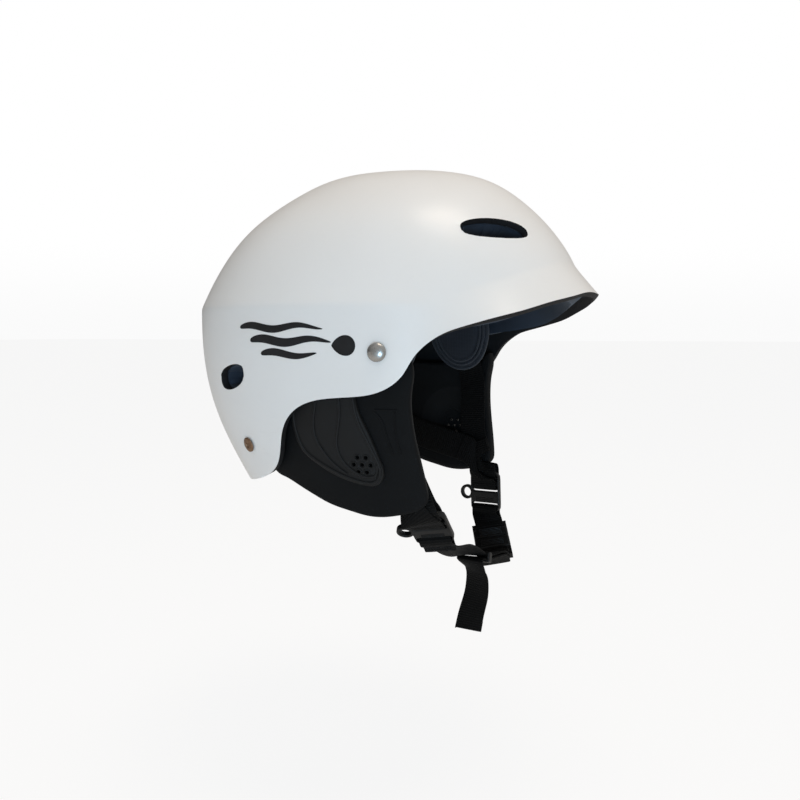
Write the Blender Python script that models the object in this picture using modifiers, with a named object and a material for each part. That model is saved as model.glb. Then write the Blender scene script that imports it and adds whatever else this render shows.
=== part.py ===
"""Water helmet: hard shell, foam liner and pads, two ear flaps, riveted straps and a chin strap with a buckle.

Metres, +Z up, +X to the front, +Y to the wearer's left. The origin is the middle of the crown pad's flat
lower face, where the helmet sits on a head. The shell is a dome whose plan sections are superellipses; every
piece that lies against it is placed by its plan angle or its side view, and by its depth under the dome.
"""

import math

import bmesh
import bpy
import numpy as np
from mathutils import Matrix, Vector

NAME = "water_helmet"
MM = 0.001

# ---------------------------------------------------------------- driving dimensions, in millimetres
CROWN_Z = 23.5                  # top of the shell
DOME_FLOOR_Z = -182.0           # height at which the dome's sides are upright
DOME_HEIGHT = CROWN_Z - DOME_FLOOR_Z
PLAN_POWER = 2.25               # superellipse exponent of the plan sections
FRONT_PROFILE = [(23.5, 0), (19.5, 48), (5.5, 79), (-20, 104), (-45, 117.5), (-70, 122), (-100, 123),
                 (-140, 121), (-182, 114)]
REAR_PROFILE = [(23.5, 0), (19.5, 37.5), (5.5, 69.5), (-15, 99), (-38, 118.5), (-62, 130), (-100, 132.5),
                (-140, 120.5), (-182, 94)]
SIDE_PROFILE = [(23.5, 0), (19.5, 37), (5.5, 65), (-15, 86), (-38, 98), (-62, 104.5), (-100, 106),
                (-140, 101), (-182, 92)]

# Lower edges: plan angle from the front in degrees, height. Half of the loop, the other half mirrors it.
SHELL_EDGE = [(0, -57.5), (12, -58), (22, -61), (33, -65), (42, -69.5), (50, -73.5), (57, -77.6), (63, -82),
              (67.5, -88), (70.8, -95.5), (73.5, -104.5), (77, -111), (82, -115.3), (88, -117),
              (94, -119.5), (98, -123.5), (101.5, -130), (104, -138), (106, -147.5), (109, -157.5),
              (113.5, -164), (120, -168.5), (130, -172.5), (143, -175), (158, -173), (170, -170), (180, -169)]
LINER_EDGE = [(0, -48), (20, -51), (38, -59), (52, -67), (63, -76), (74, -82), (86, -84.5), (98, -86),
              (107, -90), (113, -100), (118, -115), (123, -130), (129, -145), (137, -155), (150, -160),
              (165, -158), (180, -156)]
DEGREE_LENGTH = 1.8             # millimetres that a degree of plan angle is worth along an edge

SHELL_WALL = 4.0
LINER_DEPTH = 4.8               # depth of a piece's outer face under the dome
LINER_WALL = 12.2
PAD_DEPTH = 18.0
GAP = 0.3

BRIM_REACH = 9.5                # how far the brim curls out past the forehead
BRIM_HEIGHT = 19.0
BRIM_CURL = 1.35
BRIM_ANGLES = (42.0, 72.0)      # the brim fades out between these plan angles
RIDGE_Z = -66.0                 # raised line round the sides and back
RIDGE_RISE = 2.4
RIDGE_REACH = 13.0
RIDGE_ROUND = 2.5
RIDGE_ANGLES = (55.0, 85.0)     # the ridge fades in between these plan angles

FRONT_VENT = dict(x=82.0, z=-23.0, length=43.0, rise=7.2, drop=7.0, sweep=0.0)
REAR_VENT = dict(x=-73.0, z=-108.2, length=26.0, rise=7.3, drop=7.3, sweep=-0.22)

SIDE_RIVET = dict(x=27.3, z=-92.0, head=5.2, dome=2.6)
REAR_RIVET = dict(x=-63.4, z=-148.7, head=4.6, dome=1.4)
RIVET_SHANK = 2.0
RIVET_LENGTH = 8.8
WASHER_RADIUS = 4.3
WASHER_DEPTH = 7.2

FLAP_DEPTH = 8.2
FLAP_WALL = 8.3
FLAP_OUTLINE = [(-33, -108), (-15, -106), (10, -106), (26, -107.5), (36.5, -107), (40.4, -99), (42, -93),
                (44, -94), (43.8, -112), (44, -138), (47.5, -160), (49, -174), (45, -181), (34, -183.5),
                (19, -186), (5, -185), (-12, -180), (-29, -173.5), (-44, -168), (-47, -162), (-42, -148),
                (-38.5, -134), (-36, -120)]
POCKET = dict(x=12.0, z=-152.0)
POCKET_STEPS = [(7.0, 5.2), (9.5, 3.2), (20.0, 3.2), (24.0, 0.0)]   # radius, depth of the ear pocket
EAR_COVER_DEPTH = 5.0
EAR_COVER_WALL = 2.9
EAR_COVER_OUTLINE = [(9, -112), (12, -122), (18, -138), (24, -154), (25.5, -162), (22, -168), (12, -169),
                     (-4, -164.5), (-17, -158), (-27, -150), (-31, -140), (-32, -128), (-28, -117),
                     (-18, -111), (-4, -109)]
HEARING_HOLES = dict(x=13.0, z=-156.5, ring=5.0, count=6, radius=1.15)

TEMPLE_PAD_OUTLINE = [(-4, -70), (-3, -92), (5, -104), (17, -111), (29, -110.5), (40, -103), (46, -90),
                      (47.5, -76), (43, -64), (22, -60), (3, -60)]
CROWN_PAD_RADIUS = 27.0
CROWN_BEND = 0.0042             # how fast the liner's inner face falls away from the crown

WEBBING = 20.0
WEBBING_THICK = 1.4
# Straps inside the flaps: side-view position and depth under the dome.
FRONT_STRAP = [(27.3, -86.5, 5.9), (27.2, -92, 5.9), (27, -96.5, 6.1), (26.2, -99.5, 9.5), (25.8, -102, 14.5),
               (26.4, -104.8, 18), (28.2, -112, 18.3), (31, -125, 18.2), (32, -142, 18.2), (33, -158, 18.2),
               (36, -168, 18.2), (39.5, -177, 18.2)]
REAR_STRAP = [(-68, -148.4, 5.9), (-63.4, -148.7, 5.9), (-57.6, -149, 6.0), (-54.4, -149.8, 9.8),
              (-51, -150.9, 15.6), (-47.6, -152.4, 19), (-40, -155, 20.3), (-22, -161.5, 20.3),
              (-5, -166.5, 20.3), (12, -170.5, 20.3), (26, -173.5, 20.3), (34, -176, 20.3)]

PIVOT = dict(x=41.5, y=71.0, z=-185.0)          # the straps' ends, where the chin strap swings
DIVIDER = dict(width=24.0, length=31.0, thick=3.8, corner=6.0, bar=2.8, slot=4.1, turn=14.0)
LEFT_DIVIDER_END = (42.6, 69.6, -216.0)
RIGHT_DIVIDER_END = (42.5, -48.9, -206.5)
EYE = dict(x=-15.6, down=17.0, outer=5.4, inner=3.4)

BUCKLE_START = (46.2, 64.4, -224.8)             # far end of the socket half
BUCKLE_END = (57.2, 39.2, -240.8)               # far end of the plug half
BUCKLE_WIDTH = 25.0
BUCKLE_THICK = 9.0
BUCKLE_BAR = dict(length=2.6, half_thick=2.3, slot=4.1)
SOCKET_LENGTH = 15.0
RAIL = dict(neck=1.1, head=2.4, neck_length=2.6, head_length=2.5, stop=-10.9)
LAYER_STEP = 2.0                                # distance between two layers of webbing
KEEPER_AT = (49.0, 13.0, -231.6)
CHIN_ROUTE = [(43.9, -36.0, -213.6), (46.3, -15, -221.3), (48.2, 5, -228.6)]
TAIL_ROUTE = [(49.6, 9.4, -241), (50, 11, -249), (49.2, 11.6, -258), (47.2, 10.8, -268), (45, 10, -279)]
TAIL_ACROSS = (0.94, -0.34, 0.05)               # direction across the tail at its free end
TAIL_SLANT = -5.0                               # the tail's slanted cut, from one edge to the other


# ---------------------------------------------------------------- curves
def natural_spline(knots, values, where):
    """Natural cubic spline through (knots, values), level beyond its ends."""
    knots = np.asarray(knots, float)
    values = np.asarray(values, float)
    count = len(knots)
    step = np.diff(knots)
    system = np.eye(count)
    right = np.zeros(count)
    for i in range(1, count - 1):
        system[i, i - 1:i + 2] = step[i - 1], 2 * (step[i - 1] + step[i]), step[i]
        right[i] = 6 * ((values[i + 1] - values[i]) / step[i] - (values[i] - values[i - 1]) / step[i - 1])
    bend = np.linalg.solve(system, right)
    where = np.clip(where, knots[0], knots[-1])
    i = np.clip(np.searchsorted(knots, where) - 1, 0, count - 2)
    before = knots[i + 1] - where
    after = where - knots[i]
    span = step[i]
    return ((bend[i] * before ** 3 + bend[i + 1] * after ** 3) / (6 * span)
            + (values[i] / span - bend[i] * span / 6) * before
            + (values[i + 1] / span - bend[i + 1] * span / 6) * after)


def along(points, count, closed=False):
    """count points evenly along a smooth curve through the given ones."""
    points = np.asarray(points, float)
    if closed:
        lap = len(points)
        points = np.vstack([points[-3:], points, points[:4]])
    chord = np.concatenate([[0], np.cumsum(np.linalg.norm(np.diff(points, axis=0), axis=1))])
    first, last = (chord[3], chord[3 + lap]) if closed else (chord[0], chord[-1])
    fine = np.linspace(first, last, 40 * count)
    curve = np.stack([natural_spline(chord, column, fine) for column in points.T], -1)
    length = np.concatenate([[0], np.cumsum(np.linalg.norm(np.diff(curve, axis=0), axis=1))])
    stops = np.linspace(0, length[-1], count + 1)[:-1] if closed else np.linspace(0, length[-1], count)
    return np.stack([np.interp(stops, length, column) for column in curve.T], -1)


def fade(value, low, high):
    """0 below low, 1 above high, smooth between."""
    t = np.clip((value - low) / (high - low), 0, 1)
    return t * t * (3 - 2 * t)


# ---------------------------------------------------------------- the dome
def level_of(z):
    """Level of a height: 0 at the crown, 1 where the sides are upright."""
    return np.arccos(np.clip(1 - (CROWN_Z - z) / DOME_HEIGHT, -1, 1)) * 2 / math.pi


def height_of(level):
    return CROWN_Z - DOME_HEIGHT * (1 - np.cos(math.pi * level / 2))


def reach(profile, level):
    heights, radii = zip(*profile)
    return natural_spline(level_of(np.array(heights, float)), radii, level)


def dome_point(angle, level):
    """Point of the plain dome, in millimetres, at a plan angle in radians and a level."""
    cosine, sine = np.cos(angle), np.sin(angle)
    length = np.where(cosine > 0, reach(FRONT_PROFILE, level), reach(REAR_PROFILE, level))
    power = 2 / PLAN_POWER
    x = length * np.sign(cosine) * np.abs(cosine) ** power
    y = reach(SIDE_PROFILE, level) * np.sign(sine) * np.abs(sine) ** power
    return np.stack([x, y, height_of(level) + 0 * x], -1)


def dome_normal(angle, level):
    """Outward unit normal of the plain dome."""
    small = 1e-3
    level = np.maximum(level, 0.02)
    round_it = dome_point(angle + small, level) - dome_point(angle - small, level)
    down_it = dome_point(angle, level + small) - dome_point(angle, level - small)
    normal = np.cross(down_it, round_it)
    return normal / np.linalg.norm(normal, axis=-1, keepdims=True)


def under_dome(angle, level, depth):
    """Point at a depth under the plain dome."""
    return dome_point(angle, level) - dome_normal(angle, level) * np.asarray(depth)[..., None]


def angle_at(x, level):
    """Plan angle of the dome's left side at a given x."""
    length = np.where(x > 0, reach(FRONT_PROFILE, level), reach(REAR_PROFILE, level))
    return np.arccos(np.clip(np.sign(x) * np.abs(x / length) ** (PLAN_POWER / 2), -1, 1))


def side_point(x, z, depth, side):
    """Point under the dome at a side-view position, on the left (side 1) or right (side -1)."""
    x, z = np.asarray(x, float), np.asarray(z, float)
    level = level_of(z)
    point = under_dome(angle_at(x, level), level, np.asarray(depth, float) + 0 * x)
    return point * [1, side, 1]


def side_normal(x, z, side):
    level = level_of(np.asarray(z, float))
    return dome_normal(angle_at(np.asarray(x, float), level), level) * [1, side, 1]


def edge_loop(knots, half_columns):
    """Plan angles (radians) and heights evenly spaced round a whole lower edge, and the half outline."""
    before = [(-angle, z) for angle, z in knots[3:0:-1]]
    after = [(360 - angle, z) for angle, z in knots[-2:-5:-1]]
    scaled = np.array([(angle * DEGREE_LENGTH, z) for angle, z in before + knots + after])
    chord = np.concatenate([[0], np.cumsum(np.linalg.norm(np.diff(scaled, axis=0), axis=1))])
    first, last = chord[3], chord[-4]
    fine = np.linspace(first, last, 2000)
    angles = natural_spline(chord, scaled[:, 0], fine) / DEGREE_LENGTH
    heights = natural_spline(chord, scaled[:, 1], fine)
    stops = np.linspace(first, last, half_columns + 1)
    half = np.stack([np.radians(np.interp(stops, fine, angles)), np.interp(stops, fine, heights)], -1)
    mirrored = half[-2:0:-1] * [-1, 1] + [2 * math.pi, 0]
    return np.vstack([half, mirrored])


def shaped_dome(angle, level):
    """The shell's outer face: the dome with its ridge and its brim."""
    point = dome_point(angle, level)
    turn = np.degrees(np.abs((angle + math.pi) % (2 * math.pi) - math.pi))
    z = point[..., 2]
    away = np.sqrt((z - RIDGE_Z) ** 2 + RIDGE_ROUND ** 2) - RIDGE_ROUND
    ridge = RIDGE_RISE * np.exp(-away / RIDGE_REACH) * fade(turn, *RIDGE_ANGLES)
    front = [knot for knot in SHELL_EDGE if knot[0] <= 63]
    edge_z = natural_spline([a for a, _ in front], [b for _, b in front], turn)
    above = np.clip(1 - (z - edge_z) / BRIM_HEIGHT, 0, 1.2)
    brim = BRIM_REACH * above ** BRIM_CURL * (1 - fade(turn, *BRIM_ANGLES))
    outward = point * [1, 1, 0]
    outward /= np.maximum(np.linalg.norm(outward, axis=-1, keepdims=True), 1e-6)
    return point + outward * (ridge + brim)[..., None]


def dome_rows(knots, half_columns, rows, surface):
    """Rows of points from near the crown down to a lower edge, and the crown point."""
    edge = edge_loop(knots, half_columns)
    even = np.linspace(0, 2 * math.pi, len(edge), endpoint=False)
    edge_level = level_of(edge[:, 1])
    shares = (np.arange(1, rows + 1) / rows) ** 0.9
    made = [surface(even + (edge[:, 0] - even) * share, edge_level * share) for share in shares]
    return np.array([0, 0, CROWN_Z]), made


# ---------------------------------------------------------------- meshes and materials
def material(name, colour, roughness, metallic=0.0):
    made = bpy.data.materials.new(name)
    made.use_nodes = True
    shader = made.node_tree.nodes["Principled BSDF"]
    shader.inputs["Base Color"].default_value = (*colour, 1)
    shader.inputs["Roughness"].default_value = roughness
    shader.inputs["Metallic"].default_value = metallic
    made.diffuse_color = (*colour, 1)
    return made


def add_object(name, mesh, look=None, cutter=False):
    made = bpy.data.objects.new(name, mesh)
    (CUTTERS if cutter else PARTS).objects.link(made)
    if look:
        mesh.materials.append(look)
    if cutter:
        made.hide_render = True
        made.display_type = "WIRE"
    return made


def finish_mesh(name, bm, smooth_angle=40):
    """Turns a bmesh in metres into a mesh that faces outward and is shaded smooth."""
    bmesh.ops.recalc_face_normals(bm, faces=bm.faces)
    mesh = bpy.data.meshes.new(name)
    bm.to_mesh(mesh)
    bm.free()
    mesh.shade_smooth()
    mesh.set_sharp_from_angle(angle=math.radians(smooth_angle))
    return mesh


def add_ring(bm, points):
    return [bm.verts.new(Vector(p) * MM) for p in points]


def join_rings(bm, first, second):
    count = len(first)
    for i in range(count):
        bm.faces.new((first[i], first[(i + 1) % count], second[(i + 1) % count], second[i]))


def open_dome(name, knots, half_columns, rows, surface):
    crown, rings = dome_rows(knots, half_columns, rows, surface)
    bm = bmesh.new()
    top = bm.verts.new(Vector(crown if surface is shaped_dome else surface(0.0, 0.0)) * MM)
    last = add_ring(bm, rings[0])
    for i, vert in enumerate(last):
        bm.faces.new((top, vert, last[(i + 1) % len(last)]))
    for ring in rings[1:]:
        new = add_ring(bm, ring)
        join_rings(bm, last, new)
        last = new
    return finish_mesh(name, bm, 60)


def sandwich(name, outer, inner, look, smooth_angle=40):
    """A closed pad from rings of points, centre first, on its outer and its inner face."""
    bm = bmesh.new()
    rims = []
    for rings in (outer, inner):
        centre = bm.verts.new(Vector(rings[0]) * MM)
        last = add_ring(bm, rings[1])
        for i, vert in enumerate(last):
            bm.faces.new((centre, vert, last[(i + 1) % len(last)]))
        for ring in rings[2:]:
            new = add_ring(bm, ring)
            join_rings(bm, last, new)
            last = new
        rims.append(last)
    join_rings(bm, *rims)
    return add_object(name, finish_mesh(name, bm, smooth_angle), look)


def patch_rings(outline, hub, count, fractions, circles=()):
    """Side-view rings between a hub and a closed outline: circles of given radii first, then shares."""
    rim = along(outline, count, closed=True)
    ray = rim - hub
    unit = ray / np.linalg.norm(ray, axis=1, keepdims=True)
    rings = [hub + unit * radius for radius in circles]
    core = rings[-1] if rings else np.repeat([hub], count, 0)
    return rings + [core + (rim - core) * share for share in fractions]


def dome_patch(name, rings, hub, outer_depths, inner_depths, side, look):
    """A pad that follows the dome: one outer and one inner depth for its hub and for each ring."""
    faces = []
    for depths in (outer_depths, inner_depths):
        face = [side_point(hub[0], hub[1], depths[0], side)]
        face += [side_point(r[:, 0], r[:, 1], d, side) for r, d in zip(rings, depths[1:])]
        faces.append(face)
    return sandwich(name, faces[0], faces[1], look)


def angle_patch(name, middle, half_angle, z_low, z_high, outer, inner, look, columns=16):
    """A band pad across the front or back, between two heights."""
    turn = np.linspace(-1, 1, columns)
    top = np.stack([turn, np.full(columns, z_high)], -1)
    side = np.array([[1, (z_low + z_high) / 2]])
    rim = np.vstack([top, side * [1.04, 1], top[::-1] * [1, 0] + [0, z_low], side * [-1.04, 1]])
    hub = np.array([0, (z_low + z_high) / 2])
    faces = []
    for base, grow in ((outer, 1.6), (inner, -1.6)):
        face = []
        for share, extra in ((0.0, 0.0), (0.55, 0.0), (0.9, 0.0), (1.0, grow)):
            at = hub + (rim - hub) * share if share else hub
            angle = np.radians(middle + half_angle * at[..., 0])
            face.append(under_dome(angle, level_of(at[..., 1]), base + extra + 0 * at[..., 0]))
        faces.append(face)
    return sandwich(name, faces[0], faces[1], look)


def ribbon(name, centre, widths, width, thick, look, cut_slant=0.0):
    """A webbing strap along centre, with one width direction for each point."""
    centre = np.asarray(centre, float)
    tangent = np.gradient(centre, axis=0)
    tangent /= np.linalg.norm(tangent, axis=1, keepdims=True)
    widths = widths / np.linalg.norm(widths, axis=1, keepdims=True)
    up = np.cross(tangent, widths)
    up /= np.linalg.norm(up, axis=1, keepdims=True)
    bm = bmesh.new()
    rings = []
    for i, (p, w, u) in enumerate(zip(centre, widths, up)):
        slant = tangent[i] * cut_slant if i == len(centre) - 1 else 0
        half, rise = w * width / 2, u * thick / 2
        corners = [p - half - rise, p + half - rise, p + half + rise, p - half + rise]
        tips = [0, slant, slant, 0]
        rings.append(add_ring(bm, [c + t for c, t in zip(corners, tips)]))
    for first, second in zip(rings, rings[1:]):
        join_rings(bm, first, second)
    bm.faces.new(rings[0])
    bm.faces.new(rings[-1])
    return add_object(name, finish_mesh(name, bm), look)


def frame_at(origin, x_axis, z_axis):
    """World matrix, in metres, of a local frame given in millimetres: z_axis kept, x_axis squared to it."""
    z_axis = Vector(z_axis).normalized()
    x_axis = Vector(x_axis)
    x_axis = (x_axis - z_axis * x_axis.dot(z_axis)).normalized()
    y_axis = z_axis.cross(x_axis)
    turn = Matrix((x_axis, y_axis, z_axis)).transposed().to_4x4()
    return Matrix.Translation(Vector(origin) * MM) @ turn


def block_mesh(bm, low, high, place=Matrix.Identity(4)):
    """Adds a box between two corners, in millimetres, to a bmesh."""
    low, high = Vector(low), Vector(high)
    size = (high - low) * MM
    middle = (high + low) / 2 * MM
    matrix = place @ Matrix.Translation(middle) @ Matrix.Diagonal((*size, 1))
    bmesh.ops.create_cube(bm, size=1, matrix=matrix)


def cylinder_mesh(bm, radius, low, high, place, segments=24, second_radius=None):
    """Adds a cylinder or cone along the frame's z to a bmesh, in millimetres."""
    matrix = place @ Matrix.Translation((0, 0, (low + high) / 2 * MM))
    second = radius if second_radius is None else second_radius
    bmesh.ops.create_cone(bm, cap_ends=True, segments=segments, radius1=radius * MM, radius2=second * MM,
                          depth=(high - low) * MM, matrix=matrix)


def boolean(target, cutter, operation="DIFFERENCE"):
    modifier = target.modifiers.new(cutter.name, "BOOLEAN")
    modifier.object = cutter
    modifier.operation = operation
    modifier.solver = "EXACT"


def bevel(target, width, segments=2):
    modifier = target.modifiers.new("rounded", "BEVEL")
    modifier.width = width * MM
    modifier.segments = segments
    modifier.limit_method = "ANGLE"
    modifier.angle_limit = math.radians(40)


def cutter_object(name, bm):
    return add_object(name, finish_mesh(name, bm), cutter=True)


def screw_profile(name, profile, place, look, steps=16):
    """A turned piece from a half profile of (radius, height) points, top to bottom down its outer side."""
    mesh = bpy.data.meshes.new(name)
    bm = bmesh.new()
    verts = [bm.verts.new((r * MM, 0, h * MM)) for r, h in profile]
    for first, second in zip(verts, verts[1:]):
        bm.edges.new((first, second))
    bm.to_mesh(mesh)
    bm.free()
    made = add_object(name, mesh, look)
    turn = made.modifiers.new("turned", "SCREW")
    turn.steps = steps
    turn.render_steps = steps
    turn.use_merge_vertices = True
    turn.merge_threshold = 1e-6
    turn.use_smooth_shade = True
    made.matrix_world = place
    return made


# ---------------------------------------------------------------- vents and rivet places
def vent_frame(vent, side):
    """Local frame on the dome at a vent or rivet: z outward, x towards the front."""
    point = side_point(vent["x"], vent["z"], 0.0, side)
    normal = side_normal(vent["x"], vent["z"], side)
    level_run = np.cross([0, 0, 1.0], normal) * -side
    return frame_at(point, level_run, normal)


def vent_outline(vent, grow, points=12):
    """Lens outline of a vent: an upper and a lower arc between its two tips."""
    half = vent["length"] / 2 + grow
    turn = np.linspace(0, math.pi, points)
    arc = np.cos(turn) * half
    upper = np.sin(turn) ** 0.8 * (vent["rise"] + grow) + vent["sweep"] * arc
    lower = -np.sin(turn[1:-1]) ** 0.62 * (vent["drop"] + grow) + vent["sweep"] * arc[1:-1]
    return [*zip(arc, upper), *zip(arc[1:-1][::-1], lower[::-1])]


def vent_cutter(name, depth, grow):
    """Four prisms, one through each vent."""
    bm = bmesh.new()
    for vent in (FRONT_VENT, REAR_VENT):
        for side in (1, -1):
            place = vent_frame(vent, side)
            outline = [(x, y * side) for x, y in vent_outline(vent, grow)]
            rings = [[bm.verts.new(place @ (Vector((x, y, h)) * MM)) for x, y in outline]
                     for h in (-depth, 9.0)]
            join_rings(bm, *rings)
            for ring in rings:
                bm.faces.new(ring)
    return cutter_object(name, bm)


def rivet_places():
    return [(label, rivet, side) for rivet, label in ((SIDE_RIVET, "side"), (REAR_RIVET, "rear"))
            for side in (1, -1)]


def hand(side):
    return "left" if side == 1 else "right"


# ---------------------------------------------------------------- pieces
def make_shell():
    mesh = open_dome("shell", SHELL_EDGE, 30, 13, shaped_dome)
    shell = add_object("shell", mesh, LOOKS["shell"])
    wall = shell.modifiers.new("wall", "SOLIDIFY")
    wall.thickness = SHELL_WALL * MM
    wall.offset = -1
    boolean(shell, vent_cutter("shell_vent_cutter", 12.0, 0.0))
    bm = bmesh.new()
    for _, rivet, side in rivet_places():
        cylinder_mesh(bm, RIVET_SHANK + GAP, -7.5, 9.0, vent_frame(rivet, side), 10)
    boolean(shell, cutter_object("shell_rivet_cutter", bm))


def make_liner():
    def face(angle, level):
        return under_dome(angle, level, LINER_DEPTH + 0 * level)

    mesh = open_dome("foam_liner", LINER_EDGE, 26, 11, face)
    liner = add_object("foam_liner", mesh, LOOKS["foam"])
    wall = liner.modifiers.new("wall", "SOLIDIFY")
    wall.thickness = LINER_WALL * MM
    wall.offset = -1
    boolean(liner, vent_cutter("liner_vent_cutter", 26.0, -1.0))


def make_pads():
    columns = 28
    turn = np.linspace(0, 2 * math.pi, columns, endpoint=False)
    outer, inner = [], []
    for share, lift in ((0.0, 0.0), (0.5, 0.0), (0.92, 0.0), (1.0, 1.4)):
        radius = CROWN_PAD_RADIUS * share
        x, y = np.cos(turn) * radius, np.sin(turn) * radius
        if not share:
            x, y = np.array(0.0), np.array(0.0)
        top = CROWN_Z - PAD_DEPTH - CROWN_BEND * radius ** 2 - lift
        outer.append(np.stack([x, y, top + 0 * x], -1))
        inner.append(np.stack([x * 0.985, y * 0.985, 0 * x], -1))
    sandwich("crown_pad", outer, inner, LOOKS["pad"])
    angle_patch("brow_pad", 0, 46, -50, -22, PAD_DEPTH, PAD_DEPTH + 7.5, LOOKS["pad"])
    angle_patch("nape_pad", 180, 38, -148, -104, PAD_DEPTH, PAD_DEPTH + 9, LOOKS["pad"])
    hub = np.array([22.0, -84.0])
    rings = patch_rings(TEMPLE_PAD_OUTLINE, hub, 28, (0.5, 0.9, 1.0))
    for side in (1, -1):
        outer = [19.4, 19.4, 19.4, 20.6]
        inner = [26.5, 26.5, 26.0, 24.4]
        dome_patch("temple_pad_" + hand(side), rings, hub, outer, inner, side, LOOKS["pad"])


def make_flaps():
    hub = np.array([POCKET["x"], POCKET["z"]])
    circles = [radius for radius, _ in POCKET_STEPS]
    rings = patch_rings(FLAP_OUTLINE, hub, 34, (0.55, 0.95, 1.0), circles)
    back = FLAP_DEPTH + FLAP_WALL
    inner = [back - POCKET_STEPS[0][1]] + [back - rise for _, rise in POCKET_STEPS] + [back, back, back - 1.5]
    outer = [FLAP_DEPTH] * (len(inner) - 1) + [FLAP_DEPTH + 1.5]
    cover_hub = np.array([2.0, -142.0])
    cover_rings = patch_rings(EAR_COVER_OUTLINE, cover_hub, 28, (0.5, 0.86, 1.0))
    face = EAR_COVER_DEPTH
    for side in (1, -1):
        flap = dome_patch("ear_flap_" + hand(side), rings, hub, outer, inner, side, LOOKS["foam"])
        cover = dome_patch("ear_cover_" + hand(side), cover_rings, cover_hub, [face, face, face, face + 1.4],
                           [face + EAR_COVER_WALL] * 4, side, LOOKS["ear_cover"])
        bm = bmesh.new()
        place = vent_frame(HEARING_HOLES, side)
        places = [(0.0, 0.0)]
        for k in range(HEARING_HOLES["count"]):
            turn = 2 * math.pi * k / HEARING_HOLES["count"]
            places.append((math.cos(turn) * HEARING_HOLES["ring"], math.sin(turn) * HEARING_HOLES["ring"]))
        for x, y in places:
            spot = place @ Matrix.Translation((x * MM, y * MM, 0))
            cylinder_mesh(bm, HEARING_HOLES["radius"], -24, 4, spot, 8)
        holes = cutter_object("hearing_hole_cutter_" + hand(side), bm)
        boolean(flap, holes)
        boolean(cover, holes)


def make_rivets():
    for label, rivet, side in rivet_places():
        place = vent_frame(rivet, side)
        head, dome = rivet["head"], rivet["dome"]
        base = 0.35 + (RIDGE_RISE * 0.6 if label == "side" else 0.25)
        arc = [(head * math.sin(a), base + dome * math.cos(a)) for a in np.linspace(0, math.pi / 2, 5)]
        arc[0] = (0, base + dome)
        shank = [(RIVET_SHANK, base), (RIVET_SHANK, -RIVET_LENGTH), (0, -RIVET_LENGTH)]
        screw_profile(f"{label}_rivet_{hand(side)}", arc + shank, place, LOOKS[label + "_rivet"])
        hole, near, far = RIVET_SHANK + GAP, -WASHER_DEPTH, -WASHER_DEPTH - 0.8
        ring = [(hole, near), (WASHER_RADIUS, near), (WASHER_RADIUS, far), (hole, far), (hole, near)]
        screw_profile(f"{label}_rivet_washer_{hand(side)}", ring, place, LOOKS["washer"])


def make_side_straps():
    for label, route, rivet in (("front", FRONT_STRAP, SIDE_RIVET), ("rear", REAR_STRAP, REAR_RIVET)):
        samples = along(route, 20)
        for side in (1, -1):
            centre = side_point(samples[:, 0], samples[:, 1], samples[:, 2], side)
            normal = side_normal(samples[:, 0], samples[:, 1], side)
            flat_run = side_point(samples[:, 0], samples[:, 1], 15.0, side)
            widths = np.cross(normal, np.gradient(flat_run, axis=0))
            strap = ribbon(f"{label}_strap_{hand(side)}", centre, widths, WEBBING, WEBBING_THICK,
                           LOOKS["webbing"])
            bm = bmesh.new()
            cylinder_mesh(bm, RIVET_SHANK + GAP, -9, 0, vent_frame(rivet, side), 10)
            boolean(strap, cutter_object(f"{label}_strap_hole_cutter_{hand(side)}", bm))


def divider_frame(side):
    """Frame of a strap divider: origin at its pivot, x towards the front, -z down its length."""
    end = LEFT_DIVIDER_END if side == 1 else RIGHT_DIVIDER_END
    top = Vector((PIVOT["x"], PIVOT["y"] * side, PIVOT["z"]))
    turn = math.radians(DIVIDER["turn"])
    return frame_at(top, (math.cos(turn), -math.sin(turn) * side, 0), top - Vector(end))


def make_dividers():
    width, length, thick = DIVIDER["width"], DIVIDER["length"], DIVIDER["thick"]
    for side in (1, -1):
        place = divider_frame(side)
        bm = bmesh.new()
        block_mesh(bm, (-width / 2, -thick / 2, -length), (width / 2, thick / 2, 0))
        upright = [e for e in bm.edges if abs(e.verts[0].co.y - e.verts[1].co.y) > thick * MM * 0.5]
        bmesh.ops.bevel(bm, geom=upright, offset=DIVIDER["corner"] * MM, segments=4, affect="EDGES",
                        profile=0.5)
        name = "strap_divider_" + hand(side)
        divider = add_object(name, finish_mesh(name, bm), LOOKS["plastic"])
        divider.matrix_world = place

        lug = bmesh.new()
        across = frame_at((EYE["x"], 0, -EYE["down"]), (1, 0, 0), (0, 1, 0))
        cylinder_mesh(lug, EYE["outer"], -thick / 2 + 0.4, thick / 2 - 0.4, across, 20)
        lug_object = cutter_object("divider_lug_" + hand(side), lug)
        lug_object.matrix_world = place
        boolean(divider, lug_object, "UNION")

        slots = bmesh.new()
        reach_y = thick
        slot_half = WEBBING / 2 + 0.6
        low_slot = DIVIDER["bar"] - length
        for low, high in ((-8.4, -3.2), (-19.4, -11.4), (low_slot, low_slot + DIVIDER["slot"])):
            block_mesh(slots, (-slot_half, -reach_y, low), (slot_half, reach_y, high))
        cylinder_mesh(slots, EYE["inner"], -reach_y, reach_y, across, 16)
        slot_object = cutter_object("divider_slot_cutter_" + hand(side), slots)
        slot_object.matrix_world = place
        boolean(divider, slot_object)


def buckle_frame():
    """Frame of the buckle: origin at the plug's far end, z from the plug to the socket, x across it."""
    end = Vector(BUCKLE_END)
    return frame_at(end, (1, 0, 0), Vector(BUCKLE_START) - end)


def buckle_length():
    return (Vector(BUCKLE_START) - Vector(BUCKLE_END)).length


def local_block(name, low, high, place, look, rounding=0.0, segments=2):
    bm = bmesh.new()
    block_mesh(bm, low, high)
    made = add_object(name, finish_mesh(name, bm), look)
    made.matrix_world = place
    if rounding:
        bevel(made, rounding, segments)
    return made


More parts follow.
